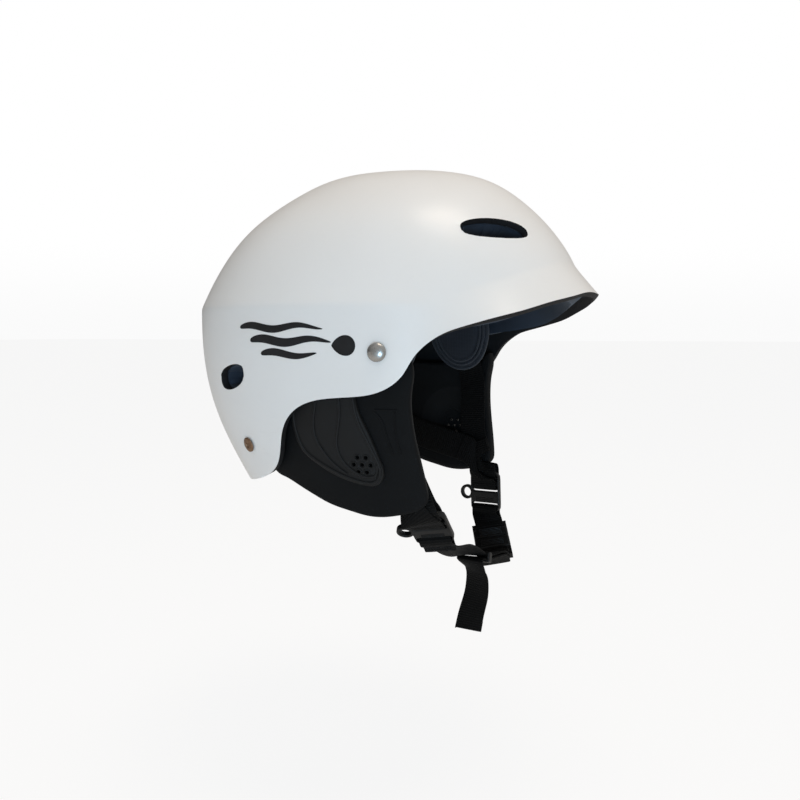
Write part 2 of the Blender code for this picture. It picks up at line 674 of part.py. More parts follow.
def placed_cutter(name, blocks, place):
    bm = bmesh.new()
    for low, high in blocks:
        block_mesh(bm, low, high)
    made = cutter_object(name, bm)
    made.matrix_world = place
    return made


def make_buckle():
    """Two halves that hold each other by a rail in a channel; the plug slides out towards the front."""
    place = buckle_frame()
    total = buckle_length()
    half_w, half_t = BUCKLE_WIDTH / 2, BUCKLE_THICK / 2
    mouth = total - SOCKET_LENGTH
    slot_half = WEBBING / 2 + 0.6
    bar, bar_t = BUCKLE_BAR["length"], BUCKLE_BAR["half_thick"]
    slot = bar + BUCKLE_BAR["slot"]
    overlap = 3.0
    neck_end = mouth + RAIL["neck_length"]
    head_end = neck_end + RAIL["head_length"]

    socket = local_block("buckle_socket", (-half_w, -half_t, mouth), (half_w, half_t, total - slot), place,
                         LOOKS["plastic"], 1.2)
    socket_frame = ((-half_w, -bar_t, total - slot - overlap), (half_w, bar_t, total))
    boolean(socket, placed_cutter("socket_frame", [socket_frame], place), "UNION")
    boolean(socket, placed_cutter("socket_slot_cutter",
                                  [((-slot_half, -9, total - slot), (slot_half, 9, total - bar))], place))
    channel_back = RAIL["stop"] - GAP
    neck_room, head_room = RAIL["neck"] + GAP, RAIL["head"] + GAP
    neck_channel = ((channel_back, -neck_room, mouth - 4), (half_w + 4, neck_room, neck_end + 1))
    head_channel = ((channel_back, -head_room, neck_end - GAP), (half_w + 4, head_room, head_end + GAP))
    boolean(socket, placed_cutter("socket_neck_cutter", [neck_channel], place))
    boolean(socket, placed_cutter("socket_head_cutter", [head_channel], place))

    plug = local_block("buckle_plug", (-half_w, -half_t, slot), (half_w, half_t, mouth - GAP), place,
                       LOOKS["plastic"], 1.2)
    boolean(plug, placed_cutter("plug_frame", [((-half_w, -bar_t, 0), (half_w, bar_t, slot + overlap))], place),
            "UNION")
    rail_front = half_w - 0.6
    rail_neck = ((RAIL["stop"], -RAIL["neck"], mouth - overlap), (rail_front, RAIL["neck"], neck_end + 0.5))
    rail_head = ((RAIL["stop"], -RAIL["head"], neck_end), (rail_front, RAIL["head"], head_end))
    boolean(plug, placed_cutter("plug_rail_neck", [rail_neck], place), "UNION")
    boolean(plug, placed_cutter("plug_rail_head", [rail_head], place), "UNION")
    boolean(plug, placed_cutter("plug_slot_cutter", [((-slot_half, -9, bar), (slot_half, 9, slot))], place))


def world_point(place, x, y, z):
    return np.array(place @ (Vector((x, y, z)) * MM)) / MM


def wrap_points(place, free_end, inner_end, half_thick):
    """Webbing round a bar of a frame: from its -y side, through the slot, to its +y side."""
    step = 1 if inner_end > free_end else -1
    radius = half_thick + 1.1
    middle = inner_end - 0.5 * step
    turns = np.linspace(-math.pi / 2, math.pi / 2, 9)
    arc = [(radius * math.sin(t), middle + step * radius * math.cos(t)) for t in turns]
    local = [(-radius, free_end)] + arc + [(radius, free_end)]
    return [world_point(place, 0, y, z) for y, z in local]


def make_socket_loop():
    """A short sewn loop of webbing that joins the left divider to the buckle's socket."""
    divider, buckle, total = divider_frame(1), buckle_frame(), buckle_length()
    low = -DIVIDER["length"]
    first = wrap_points(divider, low, low + DIVIDER["bar"], DIVIDER["thick"] / 2)
    second = wrap_points(buckle, total, total - BUCKLE_BAR["length"], BUCKLE_BAR["half_thick"])[::-1]
    outer_bend = (first[-1] + second[0]) / 2 + np.array([0, 1.0, -0.6])
    inner_bend = (first[0] + second[-1]) / 2
    samples = np.array(first + [outer_bend] + second + [inner_bend])
    divider_across, buckle_across = np.array(divider.col[0][:3]), np.array(buckle.col[0][:3])
    between = [(divider_across + buckle_across) / 2]
    across = np.array([divider_across] * len(first) + between + [buckle_across] * len(second) + between)
    tangent = np.roll(samples, -1, 0) - np.roll(samples, 1, 0)
    tangent /= np.linalg.norm(tangent, axis=1, keepdims=True)
    widths = across / np.linalg.norm(across, axis=1, keepdims=True)
    rise = np.cross(tangent, widths)
    rise *= WEBBING_THICK / 2 / np.linalg.norm(rise, axis=1, keepdims=True)
    half = widths * WEBBING / 2
    bm = bmesh.new()
    rings = [add_ring(bm, ring) for ring in
             zip(samples - half - rise, samples + half - rise, samples + half + rise, samples - half + rise)]
    for ring, following in zip(rings, rings[1:] + rings[:1]):
        join_rings(bm, ring, following)
    add_object("socket_loop", finish_mesh("socket_loop", bm), LOOKS["webbing"])


def keeper_frame():
    """Frame of the keeper: z along the webbing towards the plug, x across it."""
    plug_end = Vector(BUCKLE_END)
    before = Vector(CHIN_ROUTE[-1])
    run = (plug_end - Vector(KEEPER_AT)).normalized() + (Vector(KEEPER_AT) - before).normalized()
    return frame_at(KEEPER_AT, (1, 0, 0), run)


def make_chin_webbing():
    """One length of webbing: sewn round the right divider, through the keeper, round the plug and back."""
    divider, buckle, keeper = divider_frame(-1), buckle_frame(), keeper_frame()
    low = -DIVIDER["length"]
    layer = LAYER_STEP / 2
    round_divider = wrap_points(divider, low, low + DIVIDER["bar"], DIVIDER["thick"] / 2)
    sewn = [world_point(divider, 0, -layer, z) for z in (low - 10, low - 4)]
    upper = [world_point(divider, 0, layer, low - 4)]
    round_plug = wrap_points(buckle, 0, BUCKLE_BAR["length"], BUCKLE_BAR["half_thick"])
    arriving = [world_point(buckle, *p) for p in ((-1.6, -9.4, -4.0), (-0.4, -5.6, -2.2))]
    returning = [world_point(buckle, *p) for p in ((0, 3.2, -1.5), (0, 1.4, -2.8), (-0.1, -1.4, -3.6),
                                                  (-0.5, -4.6, -4.8), (-1.9, -8.8, -6.5))]
    below = [world_point(keeper, 0, LAYER_STEP, z) for z in (3.0, -3.4)]
    middle = along([upper[0]] + CHIN_ROUTE + [KEEPER_AT, world_point(keeper, 0, 0, 3.0)], 16)[1:]
    pieces = [(divider, sewn + round_divider + upper), (keeper, list(middle)), (buckle, arriving + round_plug),
              (buckle, returning), (keeper, below)]
    route = np.array([p for frame, points in pieces for p in points])
    across = np.array([frame.col[0][:3] for frame, points in pieces for p in points])
    ribbon("chin_webbing", route, across, WEBBING, WEBBING_THICK, LOOKS["webbing"])

    hang = [world_point(keeper, 0, LAYER_STEP + 0.3, -4.4), world_point(keeper, 0, LAYER_STEP + 1.4, -6.4)]
    tail = along(hang + [np.array(p) for p in TAIL_ROUTE], 14)
    turned = np.linspace(0, 1, len(tail))[:, None] ** 0.6
    tail_widths = np.array(keeper.col[0][:3]) * (1 - turned) + np.array(TAIL_ACROSS) * turned
    ribbon("strap_tail", tail, tail_widths, WEBBING, WEBBING_THICK, LOOKS["webbing"], TAIL_SLANT)

    ring = local_block("webbing_keeper", (-12.2, -2.4, -2.5), (12.2, 4.4, 2.5), keeper, LOOKS["plastic"], 0.9)
    boolean(ring, placed_cutter("keeper_cutter", [((-10.5, -1.1, -6), (10.5, 3.1, 6))], keeper))


# ---------------------------------------------------------------- the object
for old in list(bpy.data.objects):
    bpy.data.objects.remove(old)

PARTS = bpy.data.collections.new(NAME)
CUTTERS = bpy.data.collections.new(NAME + "_cutters")
for collection in (PARTS, CUTTERS):
    bpy.context.scene.collection.children.link(collection)

LOOKS = {
    "shell": material("shell_abs", (0.76, 0.76, 0.73), 0.42),
    "foam": material("eva_foam", (0.012, 0.013, 0.016), 0.78),
    "pad": material("pad_fabric", (0.016, 0.018, 0.024), 0.92),
    "ear_cover": material("ear_cover_rubber", (0.014, 0.015, 0.018), 0.6),
    "webbing": material("webbing", (0.010, 0.011, 0.012), 0.85),
    "plastic": material("buckle_plastic", (0.008, 0.008, 0.009), 0.38),
    "side_rivet": material("steel_rivet", (0.55, 0.54, 0.51), 0.32, 1.0),
    "rear_rivet": material("copper_rivet", (0.42, 0.30, 0.22), 0.42, 1.0),
    "washer": material("steel_washer", (0.5, 0.5, 0.48), 0.4, 1.0),
}

make_shell()
make_liner()
make_pads()
make_flaps()
make_rivets()
make_side_straps()
make_dividers()
make_buckle()
make_socket_loop()
make_chin_webbing()
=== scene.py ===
"""Looks of a water helmet: moulded shell, foam liner, padded ear flaps and a webbing chin strap.

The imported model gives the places. Lengths in this file are millimetres unless a name says otherwise; +X is
the front of the helmet, +Y the wearer's left, +Z up, and the origin is where the top of the head rests.
"""
import math
import bmesh
import bpy
import numpy as np
from contextlib import contextmanager
from mathutils import Matrix, Vector
from mathutils.bvhtree import BVHTree


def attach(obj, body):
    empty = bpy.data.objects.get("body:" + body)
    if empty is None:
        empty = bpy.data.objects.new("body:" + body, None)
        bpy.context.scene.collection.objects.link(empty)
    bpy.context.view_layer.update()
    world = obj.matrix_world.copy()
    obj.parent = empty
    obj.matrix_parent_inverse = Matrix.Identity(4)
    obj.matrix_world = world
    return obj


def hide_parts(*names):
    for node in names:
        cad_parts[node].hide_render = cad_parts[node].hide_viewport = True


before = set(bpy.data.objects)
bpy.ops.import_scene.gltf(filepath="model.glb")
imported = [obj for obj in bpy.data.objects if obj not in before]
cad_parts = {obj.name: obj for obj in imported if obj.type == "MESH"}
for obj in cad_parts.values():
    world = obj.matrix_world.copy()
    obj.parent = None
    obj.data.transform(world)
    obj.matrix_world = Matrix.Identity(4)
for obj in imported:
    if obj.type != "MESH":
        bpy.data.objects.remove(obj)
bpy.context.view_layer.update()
MM = 0.001
ANY_SIDE = (0.31, 0.93, 0.2)   # a direction that no tube runs along
WAVE_BANDS = 3.15              # bands in a metre that a wave texture of scale 1 draws

# ---------------------------------------------------------------- sizes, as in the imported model
CROWN_Z = 23.5
DOME_FLOOR_Z = -182.0
DOME_HEIGHT = CROWN_Z - DOME_FLOOR_Z
PLAN_POWER = 2.25
FRONT_PROFILE = [(23.5, 0), (19.5, 48), (5.5, 79), (-20, 104), (-45, 117.5), (-70, 122), (-100, 123),
                 (-140, 121), (-182, 114), (-195, 111.49)]
REAR_PROFILE = [(23.5, 0), (19.5, 37.5), (5.5, 69.5), (-15, 99), (-38, 118.5), (-62, 130), (-100, 132.5),
                (-140, 120.5), (-182, 94), (-195, 84.9)]
SIDE_PROFILE = [(23.5, 0), (19.5, 37), (5.5, 65), (-15, 86), (-38, 98), (-62, 104.5), (-100, 106),
                (-140, 101), (-182, 92), (-195, 89)]
SHELL_EDGE = [(0, -57.5), (12, -58), (22, -61), (33, -65), (42, -69.5), (50, -73.5), (57, -77.6),
              (63, -82), (67.5, -88), (70.8, -95.5), (73.5, -104.5), (77, -111), (82, -115.3),
              (88, -117), (94, -119.5), (98, -123.5), (101.5, -130), (104, -138), (106, -147.5),
              (109, -157.5), (113.5, -164), (120, -168.5), (130, -172.5), (143, -175), (158, -173),
              (170, -170), (180, -169)]
LINER_EDGE = [(0, -53.5), (20, -56.5), (38, -64), (52, -71.5), (63, -78), (74, -83), (86, -85.5), (98, -87),
              (107, -91), (113, -101), (118, -116), (123, -131), (129, -146), (137, -156), (150, -161),
              (165, -159), (180, -157)]
DEGREE_LENGTH = 1.8
SHELL_WALL = 4.0
SHELL_WHITE_DEPTH = 0.9             # depth to which the shell's rim stays white; deeper faces of the vent walls and cut edges are dark, as painted shade
LINER_WALL = 12.2
LINER_DEPTH = 4.8
PAD_DEPTH = 18.0
BRIM_REACH, BRIM_HEIGHT, BRIM_CURL, BRIM_ANGLES = 9.5, 19.0, 1.35, (42.0, 72.0)
RIDGE_Z, RIDGE_RISE, RIDGE_REACH, RIDGE_ROUND, RIDGE_ANGLES = -66.0, 3.0, 13.0, 1.5, (55.0, 85.0)
FRONT_VENT = dict(x=82.0, z=-23.0, length=43.0, rise=7.2, drop=7.0, sweep=0.0)
REAR_VENT = dict(x=-73.0, z=-108.2, length=26.0, rise=7.3, drop=7.3, sweep=-0.22)
VENT_NEAR, VENT_EASED = 30.0, 9.0       # how far from a vent points count as near it, and move with its rim
SIDE_RIVET = dict(x=27.3, z=-92.0)
REAR_RIVET = dict(x=-63.4, z=-148.7)
# place, head radius, dome height, look, and how far the head's base stands off the plain dome
# the rear rivets' brown metal look is a painted reflection of a warm floor on steel
RIVETS = {"side": (SIDE_RIVET, 5.2, 2.6, "steel", 1.8), "rear": (REAR_RIVET, 4.6, 1.4, "copper", 0.6)}
RIVET_LIP, RIVET_SHANK, RIVET_END = 0.45, 2.0, -8.8
REAR_RIVET_DIMPLE = [(0, 0.5), (1.25, 0.5), (1.5, 0.75), (1.7, 1.3)]
WASHER_PROFILE = [(2.3, -7.3), (2.5, -7.2), (4.1, -7.2), (4.3, -7.4), (4.3, -7.85), (4.1, -8.0), (2.5, -8.0),
                  (2.3, -7.9), (2.3, -7.3)]

FLAP_DEPTH = 8.2
FLAP_WALL = 8.3
FLAP_OUTLINE = [(-33, -108), (-15, -106), (10, -106), (25, -107.3), (33, -107.8), (37.4, -106),
                (40.8, -101.6), (43.8, -97.4), (45.2, -101.5), (44.2, -113), (44, -138), (47.5, -160),
                (49.5, -173), (49.3, -179), (45.5, -183.2), (40, -185.7), (32, -187.7), (21.5, -189.4),
                (11, -189.2), (0, -187), (-12, -184.2), (-24, -179.8), (-36, -175), (-47, -171.3),
                (-55.5, -168.7), (-57.3, -166.4), (-55, -164.2), (-50.4, -162), (-46.4, -158),
                (-43.4, -152.5), (-41, -144), (-38.5, -134), (-36, -120)]
FLAP_HUB = (12.0, -152.0)
POCKET_STEPS = [(0.0, 5.0), (7.0, 5.0), (8.2, 3.4), (14.5, 3.2), (15.6, 2.3), (21.5, 2.2), (25.5, 0.0)]
COVER_DEPTH = 5.0
COVER_WALL = 2.9
COVER_OUTLINE = [(9, -112), (12, -122), (18, -138), (24, -154), (25.5, -162), (22, -168), (12, -169),
                 (-4, -164.5), (-17, -158), (-27, -150), (-31, -140), (-32, -128), (-28, -117),
                 (-18, -111), (-4, -109)]
COVER_HUB = (2.0, -142.0)
COVER_CROWN, COVER_CROWN_REACH = 0.5, 34.0
FLAP_ROUNDING, COVER_ROUNDING = (2.4, 2.8), (1.3, 0.3)
COVER_LINES = [[(-12, -109), (-13.7, -121.9), (-15.6, -131.3), (-15.2, -141.9), (-11.6, -148.8),
                (-4.8, -156.8), (3, -162.5)],
               [(0, -109), (1.6, -125.1), (-0.1, -135.7), (-1.6, -143.1), (-1.2, -149.4), (2.9, -156.9),
                (8.8, -161.4), (16.3, -163.6), (21.0, -161.8), (22.0, -156)]]
HEARING = dict(x=13.0, z=-156.5, ring=5.0, count=6, radius=1.15, rim=1.75)
HEARING_CAST = 9.0              # height over the dome from which the holes' rims are laid on the cover
DRILL_SUNK, DRILL_LENGTH = 10.0, 28.0
FLAP_MARKS = [[(21.7, -125.3), (28, -125.1), (35.3, -125.3)],
              [(21.7, -126.3), (25.1, -130), (27.8, -138.2), (31.2, -150.7)],
              [(33.9, -126.3), (33.9, -140.6), (36, -150.7)]]
TEMPLE_OUTLINE = [(-4, -70), (-3, -92), (5, -104), (17, -111), (29, -110.5), (40, -103), (46, -90),
                  (47.5, -76), (43, -64), (22, -60), (3, -60)]
TEMPLE_HUB = (22.0, -84.0)
TEMPLE_DEPTHS = (19.8, 25.0)
TEMPLE_WELTS = (3.4, 6.4)       # how far inside the edge the two welts run
TEMPLE_SEAM = [(40.5, -68), (41.0, -78), (39.5, -88), (36.0, -97)]
WELT_TOP = -72.0
CROWN_BEND = 0.0042
CROWN_SEWN_RADIUS = 26.0
PAD_SUNK = 0.6                  # gap between the liner's face and a pad
PAD_ROUNDING = (1.2, 2.6)
BINDING_LOW = 0.6
HEAD_MIDDLE = (0.0, 0.0, -70.0)
CAST_FROM = 14.0                # how far inside a pad the rays that lay its seams start
CAST_OUT = 12.0                 # how far outside the dome the rays that lay beads on the flaps start
BACKING_GIVE = 0.35
CLOTH = dict(quality=6, mass=0.25, tension_stiffness=12, compression_stiffness=12, bending_stiffness=0.6,
             use_pressure=True, uniform_pressure_force=4.0)
CLOTH_FRAMES = 20

WEBBING = 20.0
WEBBING_THICK = 1.4
WEBBING_SIDES = 26
LOOP_WIDTH, LOOP_THICK = 19.7, 1.3
THREAD = 0.22
SLOTS = [(-8.4, -3.2), (-15.6, -11.4)]          # the divider's two upper slots, low and high edge
FRONT_BAR, REAR_BAR = (-3.2, 0.0), (-11.4, -8.4)
# points of the loops above their bars: x, half the gap between the layers, z, and how far they have turned
FRONT_RISE = [(-0.4, 2.6, 3.4, 0.8)]
REAR_RISE = [(-4.5, 4.4, 3.0, 0.4), (-1.0, 4.9, -3.5, 0.85)]
DIVIDER_RIBS = (-20.6, -21.8, -23.0)
FRONT_STRAP = [(27.3, -86.5, 5.9), (27.2, -92, 5.9), (27, -96.5, 6.1), (26.2, -99.5, 9.5),
               (25.8, -102, 14.5), (26.4, -104.8, 18), (28.2, -112, 18.3), (31, -125, 18.2),
               (32, -142, 18.2), (33, -158, 18.2), (36, -168, 18.2), (39.5, -177, 18.2)]
REAR_STRAP = [(-68, -148.4, 5.9), (-63.4, -148.7, 5.9), (-57.6, -149, 6.0), (-54.4, -149.8, 9.8),
              (-51, -150.9, 15.6), (-47.6, -152.4, 19), (-40, -155, 20.3), (-22, -161.5, 20.3),
              (-5, -166.5, 20.3), (12, -170.5, 20.3), (26, -173.5, 20.3), (34, -176, 20.3)]
PIVOT = (41.5, 71.0, -185.0)
DIVIDER = dict(width=24.0, length=31.0, thick=3.8, corner=6.0, bar=2.8, slot=4.1, turn=14.0, rounding=0.9)
DIVIDER_ENDS = {1: (42.6, 69.6, -216.0), -1: (42.5, -48.9, -206.5)}
EYE = dict(x=-15.6, down=17.0, outer=5.4, inner=3.4)
BUCKLE_START = (46.2, 64.4, -224.8)
BUCKLE_END = (57.2, 39.2, -240.8)
BUCKLE_THICK = 9.0
BUCKLE_BAR = dict(length=2.6, half_thick=2.3, slot=4.1)
SOCKET_LENGTH = 15.0
LAYER_STEP = 2.0
KEEPER_AT = (49.0, 13.0, -231.6)
CHIN_ROUTE = [(43.9, -36.0, -213.6), (46.3, -15, -221.3), (48.2, 5, -228.6)]
TAIL_ROUTE = [(50.4, 10.2, -241), (51.2, 12.4, -249), (50.2, 12.8, -259), (47.6, 11.6, -270),
              (45.2, 10.4, -283)]
TAIL_ACROSS = [(0.848, -0.53, 0), (0.975, -0.215, 0.05)]
TAIL_TURNED = 0.22
WEBBING_LEAN = 27.0
TAIL_SLANT = -7.5

# ---------------------------------------------------------------- camera
CAMERA_TURN_DEG = 21.0
CAMERA_RISE_DEG = 1.4
CAMERA_DISTANCE = 0.50
CAMERA_LENS = 33.09
CAMERA_TARGET = (0.0, 0.0, -0.094)
CAMERA_SHIFT = -0.06125
FLOOR_Z = -0.40
FLOOR_HALF_SIZE = 30.0

# ---------------------------------------------------------------- marks and light
MARK_BARS = [(-78.5, -62.0, -4.0, 2.1), (-86.0, -54.0, 1.0, 2.5), (-93.5, -46.0, -8.0, 2.1)]
MARK_WAVE, MARK_PERIOD = 1.1, 34.0
PRINT_FROM, PRINT_OVER, PRINT_UNDER = 14.0, 0.10, 0.25
MARK_DROP = dict(x=9.5, z=-88.5, radius=5.6, stretch=1.5)
SKY_BRIGHT_SIDE = (0.6, -0.25, 0.65)
SKY_LIGHT = (0.0, 0.68)
BACKDROP_RISE, BACKDROP_FOOT = 0.12, 0.96
FLOOR_COLOUR = (0.97, 0.96, 0.945)
FLOOR_GLOW = 0.85
LIGHTS = [("key", (0.35, -0.25, 1.3), (0, 0, -0.02), 0.6, 6.9, (1.0, 0.86, 0.71)),
          ("front_fill", (0.35, -0.95, -0.33), (0, 0, -0.12), 0.3, 3.5, (0.47, 0.74, 1.0))]


# ---------------------------------------------------------------- curves and the dome
def natural_spline(knots, values, where):
    """Natural cubic spline through (knots, values), level beyond its ends."""
    knots = np.asarray(knots, float)
    values = np.asarray(values, float)
    count = len(knots)
    step = np.diff(knots)
    system = np.eye(count)
    right = np.zeros(count)
    for i in range(1, count - 1):
        system[i, i - 1:i + 2] = step[i - 1], 2 * (step[i - 1] + step[i]), step[i]
        right[i] = 6 * ((values[i + 1] - values[i]) / step[i] - (values[i] - values[i - 1]) / step[i - 1])
    bend = np.linalg.solve(system, right)
    where = np.clip(where, knots[0], knots[-1])
    i = np.clip(np.searchsorted(knots, where) - 1, 0, count - 2)
    before = knots[i + 1] - where
    after = where - knots[i]
    span = step[i]
    return ((bend[i] * before ** 3 + bend[i + 1] * after ** 3) / (6 * span)
            + (values[i] / span - bend[i] * span / 6) * before
            + (values[i + 1] / span - bend[i + 1] * span / 6) * after)


def unit(vectors):
    return vectors / np.linalg.norm(vectors, axis=-1, keepdims=True)


def run_of(points):
    """Length along a line of points, at each of them."""
    return np.concatenate([[0], np.cumsum(np.linalg.norm(np.diff(points, axis=0), axis=1))])


def splined(knots, points, stops):
    return np.stack([natural_spline(knots, column, stops) for column in points.T], -1)


def interpolated(stops, knots, values):
    return np.stack([np.interp(stops, knots, column) for column in values.T], -1)


def full_turn(count):
    return np.linspace(0, 2 * math.pi, count, endpoint=False)


def heading(line, closed=False):
    """Direction along a line at each of its points."""
    return unit(np.roll(line, -1, 0) - np.roll(line, 1, 0) if closed else np.gradient(line, axis=0))


def along(points, count, closed=False):
    """count points evenly along a smooth curve through the given ones."""
    points = np.asarray(points, float)
    if closed:
        lap = len(points)
        points = np.vstack([points[-3:], points, points[:4]])
    chord = run_of(points)
    first, last = (chord[3], chord[3 + lap]) if closed else (chord[0], chord[-1])
    fine = np.linspace(first, last, 20 * count)
    curve = splined(chord, points, fine)
    length = run_of(curve)
    stops = np.linspace(0, length[-1], count + 1)[:-1] if closed else np.linspace(0, length[-1], count)
    return interpolated(stops, length, curve)


def fade(value, low, high):
    """0 below low, 1 above high, smooth between."""
    t = np.clip((value - low) / (high - low), 0, 1)
    return t * t * (3 - 2 * t)


def level_of(z):
    return np.arccos(np.clip(1 - (CROWN_Z - z) / DOME_HEIGHT, -1, 1)) * 2 / math.pi


def height_of(level):
    return CROWN_Z - DOME_HEIGHT * (1 - np.cos(math.pi * level / 2))


def reach(profile, level):
    heights, radii = zip(*profile)
    return natural_spline(level_of(np.array(heights, float)), radii, level)


def dome_point(angle, level):
    """Point of the plain dome at a plan angle in radians and a level, 0 at the crown and 1 at the floor."""
    cosine, sine = np.cos(angle), np.sin(angle)
    length = np.where(cosine > 0, reach(FRONT_PROFILE, level), reach(REAR_PROFILE, level))
    power = 2 / PLAN_POWER
    x = length * np.sign(cosine) * np.abs(cosine) ** power
    y = reach(SIDE_PROFILE, level) * np.sign(sine) * np.abs(sine) ** power
    return np.stack([x, y, height_of(level) + 0 * x], -1)


def dome_normal(angle, level):
    small = 1e-3
    level = np.maximum(level, 0.02)
    round_it = dome_point(angle + small, level) - dome_point(angle - small, level)
    down_it = dome_point(angle, level + small) - dome_point(angle, level - small)
    return unit(np.cross(down_it, round_it))


def under_dome(angle, level, depth):
    return dome_point(angle, level) - dome_normal(angle, level) * np.asarray(depth)[..., None]


def angle_at(x, level):
    length = np.where(x > 0, reach(FRONT_PROFILE, level), reach(REAR_PROFILE, level))
    return np.arccos(np.clip(np.sign(x) * np.abs(x / length) ** (PLAN_POWER / 2), -1, 1))


def side_point(x, z, depth, side):
    """Point at a depth under the dome at a side-view position, on the left (side 1) or right (side -1)."""
    x, z = np.asarray(x, float), np.asarray(z, float)
    level = level_of(z)
    return under_dome(angle_at(x, level), level, np.asarray(depth, float) + 0 * x) * [1, side, 1]


def side_normal(x, z, side):
    level = level_of(np.asarray(z, float))
    return dome_normal(angle_at(np.asarray(x, float), level), level) * [1, side, 1]


def edge_loop(knots, half_columns):
    """Plan angles and heights evenly spaced round a whole lower edge."""
    before = [(-angle, z) for angle, z in knots[3:0:-1]]
    after = [(360 - angle, z) for angle, z in knots[-2:-5:-1]]
    scaled = np.array([(angle * DEGREE_LENGTH, z) for angle, z in before + knots + after])
    chord = run_of(scaled)
    first, last = chord[3], chord[-4]
    fine = np.linspace(first, last, 2000)
    angles = natural_spline(chord, scaled[:, 0], fine) / DEGREE_LENGTH
    heights = natural_spline(chord, scaled[:, 1], fine)
    stops = np.linspace(first, last, half_columns + 1)
    half = np.stack([np.radians(np.interp(stops, fine, angles)), np.interp(stops, fine, heights)], -1)
    mirrored = half[-2:0:-1] * [-1, 1] + [2 * math.pi, 0]
    return np.vstack([half, mirrored])


def brim_and_ridge(angle, point):
    """How far the shell's outer face stands out from the plain dome, sideways."""
    turn = np.degrees(np.abs((angle + math.pi) % (2 * math.pi) - math.pi))
    z = point[..., 2]
    away = np.sqrt((z - RIDGE_Z) ** 2 + RIDGE_ROUND ** 2) - RIDGE_ROUND
    ridge = RIDGE_RISE * np.exp(-away / RIDGE_REACH) * fade(turn, *RIDGE_ANGLES)
    front = [knot for knot in SHELL_EDGE if knot[0] <= 63]
    edge_z = natural_spline([a for a, _ in front], [b for _, b in front], turn)
    above = np.clip(1 - (z - edge_z) / BRIM_HEIGHT, 0, 1.2)
    brim = BRIM_REACH * above ** BRIM_CURL * (1 - fade(turn, *BRIM_ANGLES))
    return ridge, brim


def sideways(point, distance):
    outward = point * [1, 1, 0]
    outward = outward / np.maximum(np.linalg.norm(outward, axis=-1, keepdims=True), 1e-6)
    return point + outward * distance[..., None]


def shell_surface(angle, level):
    point = dome_point(angle, level)
    ridge, brim = brim_and_ridge(angle, point)
    return sideways(point, ridge + brim)


def liner_surface(angle, level):
    """The liner's outer face: under the plain dome, and out under the brim."""
    _, brim = brim_and_ridge(angle, dome_point(angle, level))
    return sideways(under_dome(angle, level, LINER_DEPTH + 0 * level), brim * 0.96)


def hand(side):
    return "left" if side == 1 else "right"


CHIN_BODY = {1: "chin_left", -1: "chin_right"}


# ---------------------------------------------------------------- meshes
def in_scene(name, data):
    made = bpy.data.objects.new(name, data)
    bpy.context.scene.collection.objects.link(made)
    return made


def add(name, mesh, look, body="helmet", slot=None):
    made = in_scene(name, mesh)
    if look is not None:
        mesh.materials.clear()
        mesh.materials.append(look)
    if body:
        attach(made, body)
    return made


@contextmanager
def editing(mesh, fresh=False):
    """A bmesh of a mesh, written back when the work on it is done."""
    bm = bmesh.new()
    if not fresh:
        bm.from_mesh(mesh)
    yield bm
    bm.to_mesh(mesh)
    bm.free()


def shade(mesh, sharp_deg):
    mesh.shade_smooth()
    mesh.set_sharp_from_angle(angle=math.radians(sharp_deg))
    return mesh


def mesh_of(name, points, faces, smooth_angle=40, uv=None):
    """Mesh from points in millimetres, facing outward, shaded smooth."""
    mesh = bpy.data.meshes.new(name)
    mesh.from_pydata((np.asarray(points, float) * MM).tolist(), [], faces)
    if uv is not None:
        layer = mesh.uv_layers.new(name="UVMap")
        loops = np.empty(len(mesh.loops), int)
        mesh.loops.foreach_get("vertex_index", loops)
        layer.data.foreach_set("uv", np.asarray(uv, float)[loops].ravel())
    with editing(mesh) as bm:
        bmesh.ops.recalc_face_normals(bm, faces=bm.faces)
    return shade(mesh, smooth_angle)


def grid_faces(rows, columns, closed=True, start=0):
    """Quads of a grid of points stored row by row."""
    made = []
    wrap = columns if closed else columns - 1
    for r in range(rows - 1):
        a, b = start + r * columns, start + (r + 1) * columns
        made += [(a + c, a + (c + 1) % columns, b + (c + 1) % columns, b + c) for c in range(wrap)]
    return made


def sleeve_faces(rows, columns, closed):
    """Faces of a tube of rings, joined into a loop or capped at both ends."""
    faces = grid_faces(rows, columns)
    last = (rows - 1) * columns
    if closed:
        return faces + [(last + k, last + (k + 1) % columns, (k + 1) % columns, k) for k in range(columns)]
    return faces + [tuple(range(columns))[::-1], tuple(range(last, last + columns))]


def inside(x, z, loop):
    """Whether each (x, z) lies inside a closed outline."""
    hit = np.zeros(np.shape(x), bool)
    for (ax, az), (bx, bz) in zip(loop, np.roll(loop, -1, 0)):
        if az == bz:
            continue
        crosses = (az > z) != (bz > z)
        hit ^= crosses & (x < (bx - ax) * (z - az) / (bz - az) + ax)
    return hit


def evaluated(made):
    return made.evaluated_get(bpy.context.evaluated_depsgraph_get())


def apply_modifiers(made):
    """Turns an object's modifiers into its mesh."""
    mesh = bpy.data.meshes.new_from_object(evaluated(made))
    made.modifiers.clear()
    old = made.data
    made.data = mesh
    bpy.data.meshes.remove(old)


def modifier(made, kind, **settings):
    added = made.modifiers.new(kind.lower(), kind)
    for key, value in settings.items():
        setattr(added, key, value)


def bevelled(made, width, segments, angle, **settings):
    modifier(made, "BEVEL", width=width * MM, segments=segments, limit_method="ANGLE",
             angle_limit=math.radians(angle), **settings)


def frame_at(origin, x_axis, z_axis):
    """World matrix in metres of a local frame given in millimetres: z_axis kept, x_axis squared to it."""
    z_axis = Vector(z_axis).normalized()
    x_axis = Vector(x_axis)
    x_axis = (x_axis - z_axis * x_axis.dot(z_axis)).normalized()
    turn = Matrix((x_axis, z_axis.cross(x_axis), z_axis)).transposed().to_4x4()
    return Matrix.Translation(Vector(origin) * MM) @ turn


